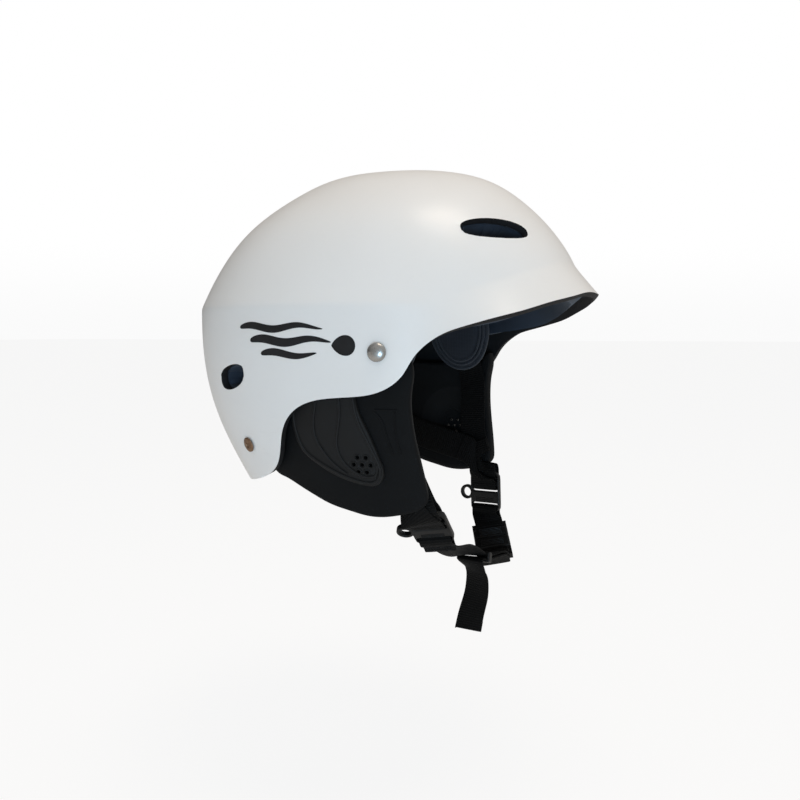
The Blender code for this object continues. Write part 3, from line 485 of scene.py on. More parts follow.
def place_on_dome(spot, side):
    """Frame on the dome: z outward, x towards the front."""
    point = side_point(spot["x"], spot["z"], 0.0, side)
    normal = side_normal(spot["x"], spot["z"], side)
    return frame_at(point, np.cross([0, 0, 1.0], normal) * -side, normal)


def vent_outline(vent, points=28):
    half = vent["length"] / 2
    turn = np.linspace(0, math.pi, points)
    arc = np.cos(turn) * half
    upper = np.sin(turn) ** 0.8 * vent["rise"] + vent["sweep"] * arc
    lower = -np.sin(turn[1:-1]) ** 0.62 * vent["drop"] + vent["sweep"] * arc[1:-1]
    return np.array([*zip(arc, upper), *zip(arc[1:-1][::-1], lower[::-1])])


VENT_PLACES = [(vent, side) for vent in (FRONT_VENT, REAR_VENT) for side in (1, -1)]


def open_dome(name, knots, columns, rows, surface, top, vent_grow):
    """A lofted open dome with smooth-edged vents cut in it. vent_grow widens them all round."""
    edge = edge_loop(knots, columns // 2)
    even = full_turn(columns)
    edge_level = level_of(edge[:, 1])
    shares = (np.arange(1, rows + 1) / rows) ** 0.9
    grid = np.array([surface(even + (edge[:, 0] - even) * s, edge_level * s) for s in shares])
    points = np.vstack([[[0, 0, top]], grid.reshape(-1, 3)])
    faces = [(0, 1 + (c + 1) % columns, 1 + c) for c in range(columns)] + grid_faces(rows, columns, start=1)
    centres = np.array([points[list(face)].mean(0) for face in faces])
    keep = np.ones(len(faces), bool)
    for vent, side in VENT_PLACES:
        local = np.array(place_on_dome(vent, side).inverted())
        outline = vent_outline(vent) * [1, side] * (1 + vent_grow * 2 / vent["length"])
        flat = (centres * MM @ local[:3, :3].T + local[:3, 3]) / MM
        gone = (np.abs(flat[:, 2]) < VENT_NEAR) & inside(flat[:, 0], flat[:, 1], outline)
        keep &= ~gone
        lost = {v for face, g in zip(faces, gone) if g for v in face}
        kept = {v for face, k in zip(faces, keep) if k for v in face}
        rim = np.array(sorted(lost & kept))
        fine = along(outline, 400, closed=True)
        here = (points * MM @ local[:3, :3].T + local[:3, 3]) / MM
        away = np.linalg.norm(here[rim, None, :2] - fine[None], axis=2)
        here[rim, :2] = fine[away.argmin(1)]
        around = np.linalg.norm(here[:, None, :2] - outline[None], axis=2).min(1)
        close = np.nonzero((around < VENT_EASED) & (np.abs(here[:, 2]) < VENT_NEAR))[0]
        ease = np.array(sorted((kept - set(rim.tolist())) & set(close)))
        links = {}
        for face, k in zip(faces, keep):
            if k:
                for i, v in enumerate(face):
                    links.setdefault(v, set()).update((face[i - 1], face[(i + 1) % len(face)]))
        for _ in range(12):
            moved = np.array([here[list(links[v])].mean(0) for v in ease])
            here[ease] = here[ease] * 0.4 + moved * 0.6
        back = np.array(place_on_dome(vent, side))
        changed = np.concatenate([rim, ease])
        points[changed] = (here[changed] * MM @ back[:3, :3].T + back[:3, 3]) / MM
    faces = [face for face, k in zip(faces, keep) if k]
    mesh = mesh_of(name, points, faces, 60)
    with editing(mesh) as bm:
        bmesh.ops.delete(bm, geom=[v for v in bm.verts if not v.link_faces], context="VERTS")
    return mesh


def even(depth):
    return lambda u, v: depth + 0 * u


def patch(name, outline, hub, columns, inner_rings, outer_depth, inner_depth, rounding, place, stops=()):
    """A closed mesh between two depths under a surface. place(u, v, depth) gives a point, the depth
    functions take u and v, rounding is the radius of the rim's edges on the outer and the inner face, and
    stops are radii round the hub at which rings of points lie."""
    hub = np.asarray(hub, float)
    rim = along(outline, columns, closed=True)
    ray = rim - hub
    length = np.linalg.norm(ray, axis=1)
    outward = ray / length[:, None]
    points, faces, starts = [], [], []
    for depth, radius, sign in ((outer_depth, rounding[0], 1), (inner_depth, rounding[1], -1)):
        rows = []
        for turn in np.linspace(0, math.pi / 2, 6)[:-1]:
            inset, off = radius * (1 - math.cos(turn)), radius * (1 - math.sin(turn))
            rows.append((length - inset, off))
        core = max(stops) if stops else 0.0
        for share in np.linspace(1, 0, inner_rings, endpoint=not stops)[:None if stops else -1]:
            rows.append((core + (length - radius - core) * share, 0.0))
        rows += [(np.full(columns, radius_at), 0.0) for radius_at in stops[::-1] if radius_at > 0]
        flat = []
        for distance, off in rows:
            at = hub + outward * np.asarray(distance)[:, None]
            flat.append(place(at[:, 0], at[:, 1], depth(at[:, 0], at[:, 1]) + sign * off))
        start = len(points)
        starts.append(start)
        points += [*np.concatenate(flat), place(hub[:1], hub[1:], depth(hub[:1], hub[1:]))[0]]
        faces += grid_faces(len(flat), columns, start=start)
        last, centre = start + (len(flat) - 1) * columns, start + len(flat) * columns
        faces += [(last + c, last + (c + 1) % columns, centre) for c in range(columns)]
    a, b = starts
    faces += [(a + c, a + (c + 1) % columns, b + (c + 1) % columns, b + c) for c in range(columns)]
    return mesh_of(name, points, faces, 50)


def tube_parts(line, radius, closed=False, sides=8):
    """Points and faces of a thin round tube along a line of points."""
    line = np.asarray(line, float)
    tangent = heading(line, closed)
    first = unit(np.cross(tangent, ANY_SIDE))
    for i in range(1, len(line)):
        first[i] = unit(first[i - 1] - tangent[i] * (first[i - 1] @ tangent[i]))
    second = np.cross(tangent, first)
    turns = full_turn(sides)
    thick = np.broadcast_to(np.asarray(radius, float), (len(line),))[:, None]
    rings = [line + (first * math.cos(t) + second * math.sin(t)) * thick for t in turns]
    points = np.stack(rings, 1).reshape(-1, 3)
    return points, sleeve_faces(len(line), sides, closed)


def tubes(name, lines, radius, look, body, slot, closed=False, sides=8):
    """One piece made of thin round tubes: piping, thread or moulded beads."""
    points, faces = [], []
    for line in lines:
        start = len(points)
        more_points, more_faces = tube_parts(line, radius, closed, sides)
        points += list(more_points)
        faces += [tuple(start + v for v in face) for face in more_faces]
    return add(name, mesh_of(name, points, faces, 60), look, body, slot)


def webbing(name, centre, widths, body, width=WEBBING, thick=WEBBING_THICK, slant=0.0, closed=False):
    """A woven strap along centre, with one width direction for each point and rounded edges."""
    centre = np.asarray(centre, float)
    tangent = heading(centre, closed)
    widths = unit(widths)
    up = unit(np.cross(tangent, widths))
    turns = full_turn(WEBBING_SIDES)
    flat = np.sign(np.cos(turns)) * np.abs(np.cos(turns)) ** 0.55 * width / 2
    high = np.sign(np.sin(turns)) * np.abs(np.sin(turns)) ** 0.35 * thick / 2
    length = run_of(centre)
    points, uv = [], []
    count = len(turns)
    for i in range(len(centre)):
        cut = slant * (flat / width + 0.5) if i == len(centre) - 1 else 0 * flat
        section = widths[i] * flat[:, None] + up[i] * high[:, None] + tangent[i] * cut[:, None]
        points += list(centre[i] + section)
        uv += [(length[i] * MM, f * MM) for f in flat]
    mesh = mesh_of(name, points, sleeve_faces(len(centre), count, closed), 55, uv)
    return add(name, mesh, LOOKS["webbing"], body, "webbing")


def turned(name, profile, place, look, slot, steps=40):
    """A turned piece from a half profile of (radius, height) points."""
    rings = [(radius, height) for radius, height in profile if radius > 0]
    points = [(math.cos(t) * radius, math.sin(t) * radius, height)
              for radius, height in rings for t in full_turn(steps)]
    faces = grid_faces(len(rings), steps)
    for (radius, height), row in ((profile[0], 0), (profile[-1], (len(rings) - 1) * steps)):
        if radius == 0:
            faces += [(row + k, row + (k + 1) % steps, len(points)) for k in range(steps)]
            points.append((0, 0, height))
    mesh = mesh_of(name, points, faces, 35)
    mesh.transform(place)
    return add(name, mesh, look, "helmet", slot)


def rounded_plate(name, outlines, thick, place, body, edge):
    """A flat moulded plate with rounded edges. The first outline is its rim and the others are holes."""
    curve = bpy.data.curves.new(name + "_outline", "CURVE")
    curve.dimensions = "2D"
    curve.fill_mode = "BOTH"
    curve.extrude = (thick / 2 - edge) * MM
    curve.bevel_depth = edge * MM
    curve.offset = -edge * MM
    curve.bevel_resolution = 3
    for outline in outlines:
        spline = curve.splines.new("POLY")
        spline.points.add(len(outline) - 1)
        for point, (x, y) in zip(spline.points, outline):
            point.co = (x * MM, y * MM, 0, 1)
        spline.use_cyclic_u = True
    holder = in_scene(name + "_outline", curve)
    mesh = bpy.data.meshes.new_from_object(evaluated(holder))
    mesh.name = name
    bpy.data.objects.remove(holder)
    bpy.data.curves.remove(curve)
    with editing(mesh) as bm:
        bmesh.ops.remove_doubles(bm, verts=bm.verts, dist=1e-6)
        bmesh.ops.recalc_face_normals(bm, faces=bm.faces)
    shade(mesh, 40)
    mesh.transform(place)
    return add(name, mesh, LOOKS["plastic"], body, "plastic")


def rounded_rectangle(x0, x1, z0, z1, radius, steps=5):
    """Outline of a rectangle with rounded corners."""
    made = []
    corners = ((x1 - radius, z1 - radius, 0), (x0 + radius, z1 - radius, 90), (x0 + radius, z0 + radius, 180),
               (x1 - radius, z0 + radius, 270))
    for cx, cz, begin in corners:
        for turn in np.radians(np.linspace(begin, begin + 90, steps)):
            made.append((cx + radius * math.cos(turn), cz + radius * math.sin(turn)))
    return made


def circle(x, z, radius, steps=28):
    turns = full_turn(steps)
    return [(x + radius * math.cos(t), z + radius * math.sin(t)) for t in turns]


# ---------------------------------------------------------------- materials
def new_look(name, colour, roughness, metallic=0.0, sheen=0.0, coat=0.0, specular=0.5):
    """A Principled material and its tree."""
    look = bpy.data.materials.new(name)
    look.use_nodes = True
    shader = look.node_tree.nodes["Principled BSDF"]
    shader.inputs["Base Color"].default_value = (*colour, 1)
    shader.inputs["Roughness"].default_value = roughness
    shader.inputs["Metallic"].default_value = metallic
    shader.inputs["Sheen Weight"].default_value = sheen
    shader.inputs["Sheen Roughness"].default_value = 0.5
    shader.inputs["Coat Weight"].default_value = coat
    shader.inputs["Coat Roughness"].default_value = 0.25
    shader.inputs["Specular IOR Level"].default_value = specular
    look.diffuse_color = (*colour, 1)
    return look, look.node_tree


def node(tree, kind, **settings):
    made = tree.nodes.new(kind)
    for key, value in settings.items():
        if key in made.inputs:
            made.inputs[key].default_value = value
        else:
            setattr(made, key, value)
    return made


def mapped_noise(tree, scale, detail=3.0, roughness=0.55, stretch=(1, 1, 1)):
    """Noise over object coordinates, which are metres in the row frame."""
    place = node(tree, "ShaderNodeTexCoord")
    mapping = node(tree, "ShaderNodeMapping")
    mapping.inputs["Scale"].default_value = stretch
    made = node(tree, "ShaderNodeTexNoise", Scale=scale, Detail=detail, Roughness=roughness)
    tree.links.new(place.outputs["Object"], mapping.inputs["Vector"])
    tree.links.new(mapping.outputs["Vector"], made.inputs["Vector"])
    return made.outputs["Fac"]


def ramp(tree, value, stops):
    """A colour ramp: (position, colour) stops, with a grey level standing for a colour."""
    made = node(tree, "ShaderNodeValToRGB")
    while len(made.color_ramp.elements) < len(stops):
        made.color_ramp.elements.new(0.5)
    for element, (position, colour) in zip(made.color_ramp.elements, stops):
        element.position = position
        element.color = (*(colour if isinstance(colour, tuple) else (colour,) * 3), 1)
    tree.links.new(value, made.inputs["Fac"])
    return made.outputs["Color"]


def mixed(tree, share, first, second):
    made = node(tree, "ShaderNodeMix", data_type="RGBA")
    for socket, value in ((made.inputs["Factor"], share), (made.inputs[6], first), (made.inputs[7], second)):
        if isinstance(value, bpy.types.NodeSocket):
            tree.links.new(value, socket)
        elif isinstance(value, tuple):
            socket.default_value = (*value, 1)
        else:
            socket.default_value = value
    return made.outputs[2]


def maths(tree, operation, first, second=None, clamp=False):
    made = node(tree, "ShaderNodeMath", operation=operation, use_clamp=clamp)
    for socket, value in zip(made.inputs, (first, second)):
        if isinstance(value, bpy.types.NodeSocket):
            tree.links.new(value, socket)
        elif value is not None:
            socket.default_value = value
    return made.outputs[0]


def spread(tree, value, low, high, start=0.0, end=1.0, kind="LINEAR"):
    """A value that runs from start to end, spread between two numbers."""
    made = node(tree, "ShaderNodeMapRange", interpolation_type=kind)
    for socket, number in zip(("From Min", "From Max", "To Min", "To Max"), (start, end, low, high)):
        made.inputs[socket].default_value = number
    tree.links.new(value, made.inputs["Value"])
    return made.outputs["Result"]


def times(colour, factor):
    return tuple(c * factor for c in colour)


def finished(look, colour, roughness, height, depth, strength):
    """Plugs colour, roughness and a bump into a material's shader."""
    tree = look.node_tree
    shader = tree.nodes["Principled BSDF"]
    bump = node(tree, "ShaderNodeBump", Strength=strength, Distance=depth)
    for value, socket in ((colour, shader.inputs["Base Color"]), (roughness, shader.inputs["Roughness"]),
                          (height, bump.inputs["Height"]), (bump.outputs["Normal"], shader.inputs["Normal"])):
        tree.links.new(value, socket)
    return look


def shell_look():
    """Moulded white plastic: drifting tone, specks, and patches that are darker and browner towards the
    bottom.
    """
    look, tree = new_look("moulded_white_shell", (0.80, 0.79, 0.77), 0.4, coat=0.12, specular=0.42)
    tone = ramp(tree, mapped_noise(tree, 9, 2), [(0.3, (0.770, 0.758, 0.735)), (0.7, (0.815, 0.805, 0.785))])
    specks = ramp(tree, mapped_noise(tree, 340, 2), [(0.64, 0.0), (0.74, 1.0)])
    low_patch_noise = ramp(tree, mapped_noise(tree, 26, 5, 0.7, (1, 1, 3)), [(0.60, 0.0), (0.74, 1.0)])
    split = node(tree, "ShaderNodeSeparateXYZ")
    tree.links.new(node(tree, "ShaderNodeTexCoord").outputs["Object"], split.inputs["Vector"])
    # patches of the colour turn darker and browner towards the bottom of the shell
    low_part = spread(tree, split.outputs["Z"], 1.0, 0.0, -0.175, -0.12, "SMOOTHSTEP")
    low_darkening = maths(tree, "MULTIPLY", maths(tree, "MULTIPLY", low_patch_noise, low_part), 0.35)
    low_darkened_tone = mixed(tree, low_darkening, tone, (0.55, 0.52, 0.47))
    speckled = mixed(tree, maths(tree, "MULTIPLY", specks, 0.05), low_darkened_tone, (0.62, 0.6, 0.57))
    scuffs = ramp(tree, mapped_noise(tree, 60, 6, 0.75, (1, 1, 0.25)), [(0.35, 0.0), (0.75, 1.0)])
    orange_peel = mapped_noise(tree, 620, 3)
    return finished(look, speckled, spread(tree, scuffs, 0.34, 0.47), orange_peel, 0.00006, 0.35)


def foam_look(name, colour, cell=2400, roughness=0.86, sheen=0.12, depth=0.00012):
    """Closed-cell foam: fine open pores on a cut face, and a tone that drifts."""
    look, tree = new_look(name, colour, roughness, sheen=sheen, specular=0.12)
    cells = node(tree, "ShaderNodeTexVoronoi", Scale=cell / 3)
    tree.links.new(node(tree, "ShaderNodeTexCoord").outputs["Object"], cells.inputs["Vector"])
    fine = mapped_noise(tree, cell, 4)
    height = maths(tree, "ADD", maths(tree, "MULTIPLY", cells.outputs["Distance"], 0.6), fine)
    tone = ramp(tree, mapped_noise(tree, 22, 3), [(0.3, times(colour, 0.78)), (0.72, times(colour, 1.35))])
    rough = spread(tree, fine, roughness - 0.08, min(roughness + 0.08, 1.0))
    return finished(look, tone, rough, height, depth, 0.6)


def knit_look(name, colour, pitch=2.2, sheen=0.12, depth=0.00018, roughness=0.8):
    """Fine knitted cloth: three crossed waves of a pitch in millimetres, which need no unwrapping."""
    look, tree = new_look(name, colour, roughness, sheen=sheen, specular=0.15)
    place = node(tree, "ShaderNodeTexCoord").outputs["Object"]
    waves = []
    for turn in ((0, 0, 0), (math.radians(90), 0, 0), (0, math.radians(90), math.radians(45))):
        mapping = node(tree, "ShaderNodeMapping")
        mapping.inputs["Rotation"].default_value = turn
        wave = node(tree, "ShaderNodeTexWave", wave_type="BANDS", bands_direction="X", Distortion=1.2,
                    Detail=2.0)
        wave.inputs["Scale"].default_value = 1000 / pitch / WAVE_BANDS
        wave.inputs["Detail Scale"].default_value = 2.0
        tree.links.new(place, mapping.inputs["Vector"])
        tree.links.new(mapping.outputs["Vector"], wave.inputs["Vector"])
        waves.append(wave.outputs["Fac"])
    knit = maths(tree, "MULTIPLY", maths(tree, "ADD", maths(tree, "ADD", *waves[:2]), waves[2]), 0.33)
    shade = mixed(tree, mapped_noise(tree, 30, 4), times(colour, 0.75), times(colour, 1.4))
    tone = mixed(tree, spread(tree, knit, 0.0, 0.45), shade, times(colour, 0.45))
    return finished(look, tone, spread(tree, knit, roughness + 0.08, roughness - 0.1), knit, depth, 0.7)


def webbing_look():
    """Woven strap: ribs across it and a fine weave along it, in the strap's own coordinates."""
    look, tree = new_look("woven_webbing", (0.0025, 0.0025, 0.0026), 0.7, sheen=0.01, specular=0.1)
    place = node(tree, "ShaderNodeUVMap", uv_map="UVMap").outputs["UV"]
    heights = []
    for axis, per_metre, distortion in (("X", 620, 0.0), ("Y", 900, 0.0), ("DIAGONAL", 900, 0.4)):
        wave = node(tree, "ShaderNodeTexWave", wave_type="BANDS", bands_direction=axis, Distortion=distortion)
        wave.inputs["Scale"].default_value = per_metre / WAVE_BANDS
        tree.links.new(place, wave.inputs["Vector"])
        heights.append(wave.outputs["Fac"])
    weave = maths(tree, "MULTIPLY", maths(tree, "MULTIPLY", heights[0], heights[1]), heights[2])
    weave = maths(tree, "ADD", weave, maths(tree, "MULTIPLY", heights[0], 0.6))
    tone = mixed(tree, spread(tree, weave, 0.0, 0.9), (0.0010, 0.0010, 0.0010), (0.0050, 0.0048, 0.0046))
    return finished(look, tone, spread(tree, mapped_noise(tree, 900, 4), 0.52, 0.74), weave, 0.00025, 0.8)


def plastic_look(name, colour, roughness=0.42, grain=1500, depth=0.00003):
    """Moulded plastic: a fine spark-eroded grain, and tone and roughness that drift in patches."""
    look, tree = new_look(name, colour, roughness, specular=0.25)
    smudge = mapped_noise(tree, 70, 5, 0.7)
    tone = ramp(tree, smudge, [(0.3, times(colour, 0.8)), (0.75, times(colour, 1.5))])
    rough = spread(tree, smudge, roughness - 0.1, roughness + 0.12)
    return finished(look, tone, rough, mapped_noise(tree, grain, 4), depth, 0.5)


def metal_look(name, colour, roughness, tarnish):
    look, tree = new_look(name, colour, roughness, metallic=1.0)
    spots = ramp(tree, mapped_noise(tree, 420, 6, 0.7), [(0.42, 0.0), (0.68, 1.0)])
    tone = mixed(tree, maths(tree, "MULTIPLY", spots, 0.6), colour, tarnish)
    rough = spread(tree, spots, roughness - 0.06, roughness + 0.22)
    return finished(look, tone, rough, mapped_noise(tree, 2600, 3), 0.00002, 0.4)


LOOKS = {
    "shell": shell_look(),
    # dark inside of the shell; on its vent walls and cut edges the same dark is painted shade
    "inside_and_painted_edge_shade": plastic_look("dark_inside_and_painted_edge_shade", (0.007, 0.0072, 0.008), 0.75, 700, 0.00006),
    "foam": foam_look("closed_cell_foam", (0.022, 0.031, 0.046)),
    "flap": foam_look("skinned_flap_foam", (0.0040, 0.0044, 0.0048), 3200, 0.72, 0.01, 0.00006),
    "cover": plastic_look("moulded_rubber_cover", (0.0044, 0.0046, 0.0048), 0.6, 1900, 0.00005),
    "pad": knit_look("knit_pad_cloth", (0.022, 0.026, 0.034)),
    "piping": knit_look("bound_edge_tape", (0.032, 0.037, 0.046), 1.4, 0.15, 0.00012, 0.7),
    "webbing": webbing_look(),
    "thread": plastic_look("bonded_thread", (0.012, 0.012, 0.013), 0.55, 2600, 0.00003),
    "plastic": plastic_look("moulded_acetal", (0.0050, 0.0048, 0.0046)),
    "steel": metal_look("polished_rivet_steel", (0.40, 0.395, 0.38), 0.26, (0.20, 0.195, 0.18)),
    # brown metal of the rear rivets: its brown is a painted reflection of a warm floor on steel
    "copper": metal_look("dulled_painted_floor_reflection_metal", (0.27, 0.17, 0.105), 0.42, (0.09, 0.06, 0.045)),
    "ink": plastic_look("printed_black_ink", (0.010, 0.010, 0.011), 0.4, 900, 0.00002),
}


# ---------------------------------------------------------------- shell and liner
def walled(made, wall, rim, segments):
    """Gives an open skin its wall, inward, and rounds the rim."""
    modifier(made, "SOLIDIFY", thickness=wall * MM, offset=-1, use_even_offset=False, use_rim=True)
    bevelled(made, rim, segments, 50, use_clamp_overlap=True)
    apply_modifiers(made)
    shade(made.data, 45)


def make_shell():
    mesh = open_dome("shell_skin", SHELL_EDGE, 320, 118, shell_surface, CROWN_Z, 0.0)
    skin = add("shell_skin", mesh, LOOKS["shell"], "helmet", "shell")
    outer = tree_of(skin)
    walled(skin, SHELL_WALL, 1.2, 4)
    skin.data.materials.append(LOOKS["inside_and_painted_edge_shade"])
    # faces deeper than the white depth get the dark look: the shell's inner face, and painted shade on the
    # vent walls and cut edges
    for face in skin.data.polygons:
        face.material_index = int(outer.find_nearest(face.center)[3] > SHELL_WHITE_DEPTH * MM)
    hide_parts("shell")
    return skin


def make_liner():
    mesh = open_dome("liner_foam", LINER_EDGE, 240, 84, liner_surface, CROWN_Z - LINER_DEPTH, -1.0)
    foam = add("liner_foam", mesh, LOOKS["foam"], "helmet", "liner")
    walled(foam, LINER_WALL, 2.2, 4)
    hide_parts("foam_liner")


# ---------------------------------------------------------------- pads
def tree_of(made):
    return BVHTree.FromObject(made, bpy.context.evaluated_depsgraph_get())


def onto(tree, points, directions, lift=0.0):
    """Points moved along their directions onto a surface, and then lifted off it by a distance."""
    landed = []
    for point, direction in zip(points, directions):
        hit, normal, _, _ = tree.ray_cast(Vector(point) * MM, Vector(direction))
        if hit is not None:
            landed.append(np.array(hit) / MM + np.array(normal) * lift)
    return np.array(landed)


def swollen(made, cap, voxel=2.4):
    """Lets air pressure fill a cloth pad. Each point stays within cap of its start and off its backing."""
    modifier(made, "REMESH", mode="VOXEL", voxel_size=voxel * MM)
    apply_modifiers(made)
    start = points_of(made.data)
    final = start
    scene = bpy.context.scene
    scene.frame_set(1)
    cloth = made.modifiers.new("cloth", "CLOTH")
    for key, value in CLOTH.items():
        setattr(cloth.settings, key, value)
    cloth.settings.effector_weights.gravity = 0
    cloth.collision_settings.use_collision = False
    cloth.point_cache.frame_start = 1
    cloth.point_cache.frame_end = CLOTH_FRAMES
    for number in range(1, CLOTH_FRAMES + 1):
        scene.frame_set(number)
    final = points_of(evaluated(made).data)
    made.modifiers.clear()
    scene.frame_set(1)
    move = final - start
    backing = outward_of(start)
    towards = (move * backing).sum(1)
    move -= backing * np.maximum(towards - BACKING_GIVE, 0)[:, None]
    size = np.linalg.norm(move, axis=1, keepdims=True)
    move *= np.minimum(1, cap / np.maximum(size, 1e-6))
    made.data.vertices.foreach_set("co", ((start + move) * MM).ravel())
    modifier(made, "SUBSURF", levels=1, render_levels=1)
    apply_modifiers(made)
    made.data.shade_smooth()


def points_of(mesh):
    return np.array([v.co for v in mesh.vertices]) / MM


def outward_of(points):
    """Direction from the middle of the head to each point, which is where the liner backs it."""
    return unit(points - np.array(HEAD_MIDDLE))


def under_place(middle_deg):
    """A pad's surface: u in millimetres round the dome from an angle, v a height."""
    return lambda u, v, depth: under_dome(math.radians(middle_deg) + u / 100, level_of(v), depth)


def crown_place(u, v, depth):
    radius = np.hypot(u, v)
    return np.stack([u, v, CROWN_Z - depth - CROWN_BEND * radius ** 2], -1)


def seamed_pad(name, outline, hub, place, outer, inner, replaced, channels, cap):
    """A cloth pad with a bound edge, and sewn channels pressed into its face."""
    pad = cloth_pad(name, outline, hub, place, outer, inner, cap)
    tree = tree_of(pad)
    lines = [cast(tree, place, along(channel, 60), outer, inner, 0.05) for channel in channels]
    lines = [line for line in lines if len(line) > 3]
    sewn(pad, name, lines, 2.6, 1.1, 0.32)
    bound(name, along(outline, 150, closed=True), place, outer, inner, 0.95)
    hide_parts(replaced)


def cloth_pad(name, outline, hub, place, outer, inner, cap, **settings):
    mesh = patch(name, outline, hub, 120, 14, even(outer), even(inner), PAD_ROUNDING, place)
    pad = add(name, mesh, LOOKS["pad"], "helmet", "pad")
    swollen(pad, cap, **settings)
    return pad


def cast(tree, place, route, outer, inner, lift):
    """A line laid on the face of a pad from the head's side."""
    far = place(route[:, 0], route[:, 1], inner + CAST_FROM + 0 * route[:, 0])
    near = place(route[:, 0], route[:, 1], outer + 0 * route[:, 0])
    return onto(tree, far, unit(near - far), lift)


def sewn(pad, name, lines, reach_mm, depth, radius):
    press_channels(pad, lines, reach_mm, depth)
    tubes(name + "_seam", lines, radius, LOOKS["thread"], "helmet", "pad", sides=6)


def bound(name, rim, place, outer, inner, radius):
    """The tape round a pad's edge."""
    border = place(rim[:, 0], rim[:, 1], (outer + inner) / 2 + BINDING_LOW + 0 * rim[:, 0])
    tubes(name + "_binding", [border], radius, LOOKS["piping"], "helmet", "pad", closed=True)


def press_channels(pad, lines, reach_mm, depth):
    """Presses a rounded groove into a pad along its sewn lines."""
    mesh = pad.data
    points = points_of(mesh)
    normals = np.array([v.normal for v in mesh.vertices])
    line_points = np.vstack(lines)
    away = np.full(len(points), 1e9)
    for chunk in np.array_split(np.arange(len(points)), max(1, len(points) // 4000)):
        away[chunk] = np.linalg.norm(points[chunk, None] - line_points[None], axis=2).min(1)
    push = depth * np.exp(-(away / reach_mm) ** 2)
    mesh.vertices.foreach_set("co", ((points - normals * push[:, None]) * MM).ravel())
    for line in lines:
        line += outward_of(line) * depth * 0.92
    mesh.update()


def make_pads():
    outer = PAD_DEPTH + PAD_SUNK
    crown = circle(0, 0, CROWN_SEWN_RADIUS, 12)
    star = [[(0, -24), (0, 0), (0, 24)], [(-24, 0), (0, 0), (24, 0)]]
    seamed_pad("crown_cushion", crown, (0, 0), crown_place, outer, 23.0, "crown_pad", star, 2.2)
    brow = rounded_rectangle(-79, 79, -49, -23, 11, 7)
    cross = [[(u, -47), (u, -36), (u, -25)] for u in (-52, -26, 0, 26, 52)]
    seamed_pad("brow_cushion", brow, (0, -36), under_place(0), outer, PAD_DEPTH + 6.0, "brow_pad", cross, 2.4)
    nape = rounded_rectangle(-65, 65, -147, -105, 14, 7)
    cross = [[(u, -143), (u, -126), (u, -109)] for u in (-34, 0, 34)]
    seamed_pad("nape_cushion", nape, (0, -126), under_place(180), outer, PAD_DEPTH + 7.0, "nape_pad", cross,
               2.6)
    for side in (1, -1):
        temple_pad(side)


def open_part(ring):
    """The part of a closed ring below the welts' upper ends, from one end to the other."""
    line = ring[ring[:, 1] < WELT_TOP]
    gap = np.argmax(np.linalg.norm(np.diff(line, axis=0, append=line[:1]), axis=1))
    return np.roll(line, -int(gap) - 1, 0)


def temple_pad(side):
    """Side pad with a bound lower border, a second welt above it and a sewn front seam."""
    def place(u, v, depth):
        return side_point(u, v, depth, side)
    name = "temple_cushion_" + hand(side)
    outer, inner = TEMPLE_DEPTHS
    pad = cloth_pad(name, TEMPLE_OUTLINE, TEMPLE_HUB, place, outer, inner, 2.2, voxel=2.2)
    tree = tree_of(pad)
    laid = []
    for route in (*[open_part(inset_ring(TEMPLE_OUTLINE, TEMPLE_HUB, inset, 160)) for inset in TEMPLE_WELTS],
                  along(TEMPLE_SEAM, 40)):
        laid.append(cast(tree, place, route, outer, inner, 0.1))
    tubes(name + "_piping", laid[:2], 0.8, LOOKS["piping"], "helmet", "pad")
    sewn(pad, name, laid[2:], 2.4, 1.0, 0.35)
    bound(name, along(TEMPLE_OUTLINE, 160, closed=True), place, outer, inner, 1.15)
    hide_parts("temple_pad_" + hand(side))


# ---------------------------------------------------------------- ear flaps and covers
def hearing_places(side):
    frame_here = place_on_dome(HEARING, side)
    spots = [(0.0, 0.0)]
    for turn in full_turn(HEARING["count"]):
        spots.append((math.cos(turn) * HEARING["ring"], math.sin(turn) * HEARING["ring"]))
    return [frame_here @ Matrix.Translation((x * MM, y * MM, 0)) for x, y in spots]


def drill(pieces, side):
    """Cuts the hearing holes through the cover and the flap."""
    mesh = bpy.data.meshes.new("drill")
    radius = HEARING["radius"] * MM
    with editing(mesh, fresh=True) as bm:
        for place in hearing_places(side):
            deep = place @ Matrix.Translation((0, 0, -DRILL_SUNK * MM))
            bmesh.ops.create_cone(bm, cap_ends=True, segments=20, radius1=radius, radius2=radius,
                                  depth=DRILL_LENGTH * MM, matrix=deep)
    tool = in_scene("drill", mesh)
    for piece in pieces:
        modifier(piece, "BOOLEAN", object=tool, operation="DIFFERENCE", solver="EXACT")
        apply_modifiers(piece)
        piece.data.set_sharp_from_angle(angle=math.radians(40))
    bpy.data.objects.remove(tool)
    bpy.data.meshes.remove(mesh)


def laid_on(tree, route, side, lift=0.0):
    """A side-view line laid on the outside of a piece."""
    start = side_point(route[:, 0], route[:, 1], -CAST_OUT, side)
    return onto(tree, start, -side_normal(route[:, 0], route[:, 1], side), lift)


def inset_ring(outline, hub, inset, count):
    ray = along(outline, count, closed=True) - np.array(hub)
    length = np.linalg.norm(ray, axis=1, keepdims=True)
    return np.array(hub) + ray * (1 - inset / length)


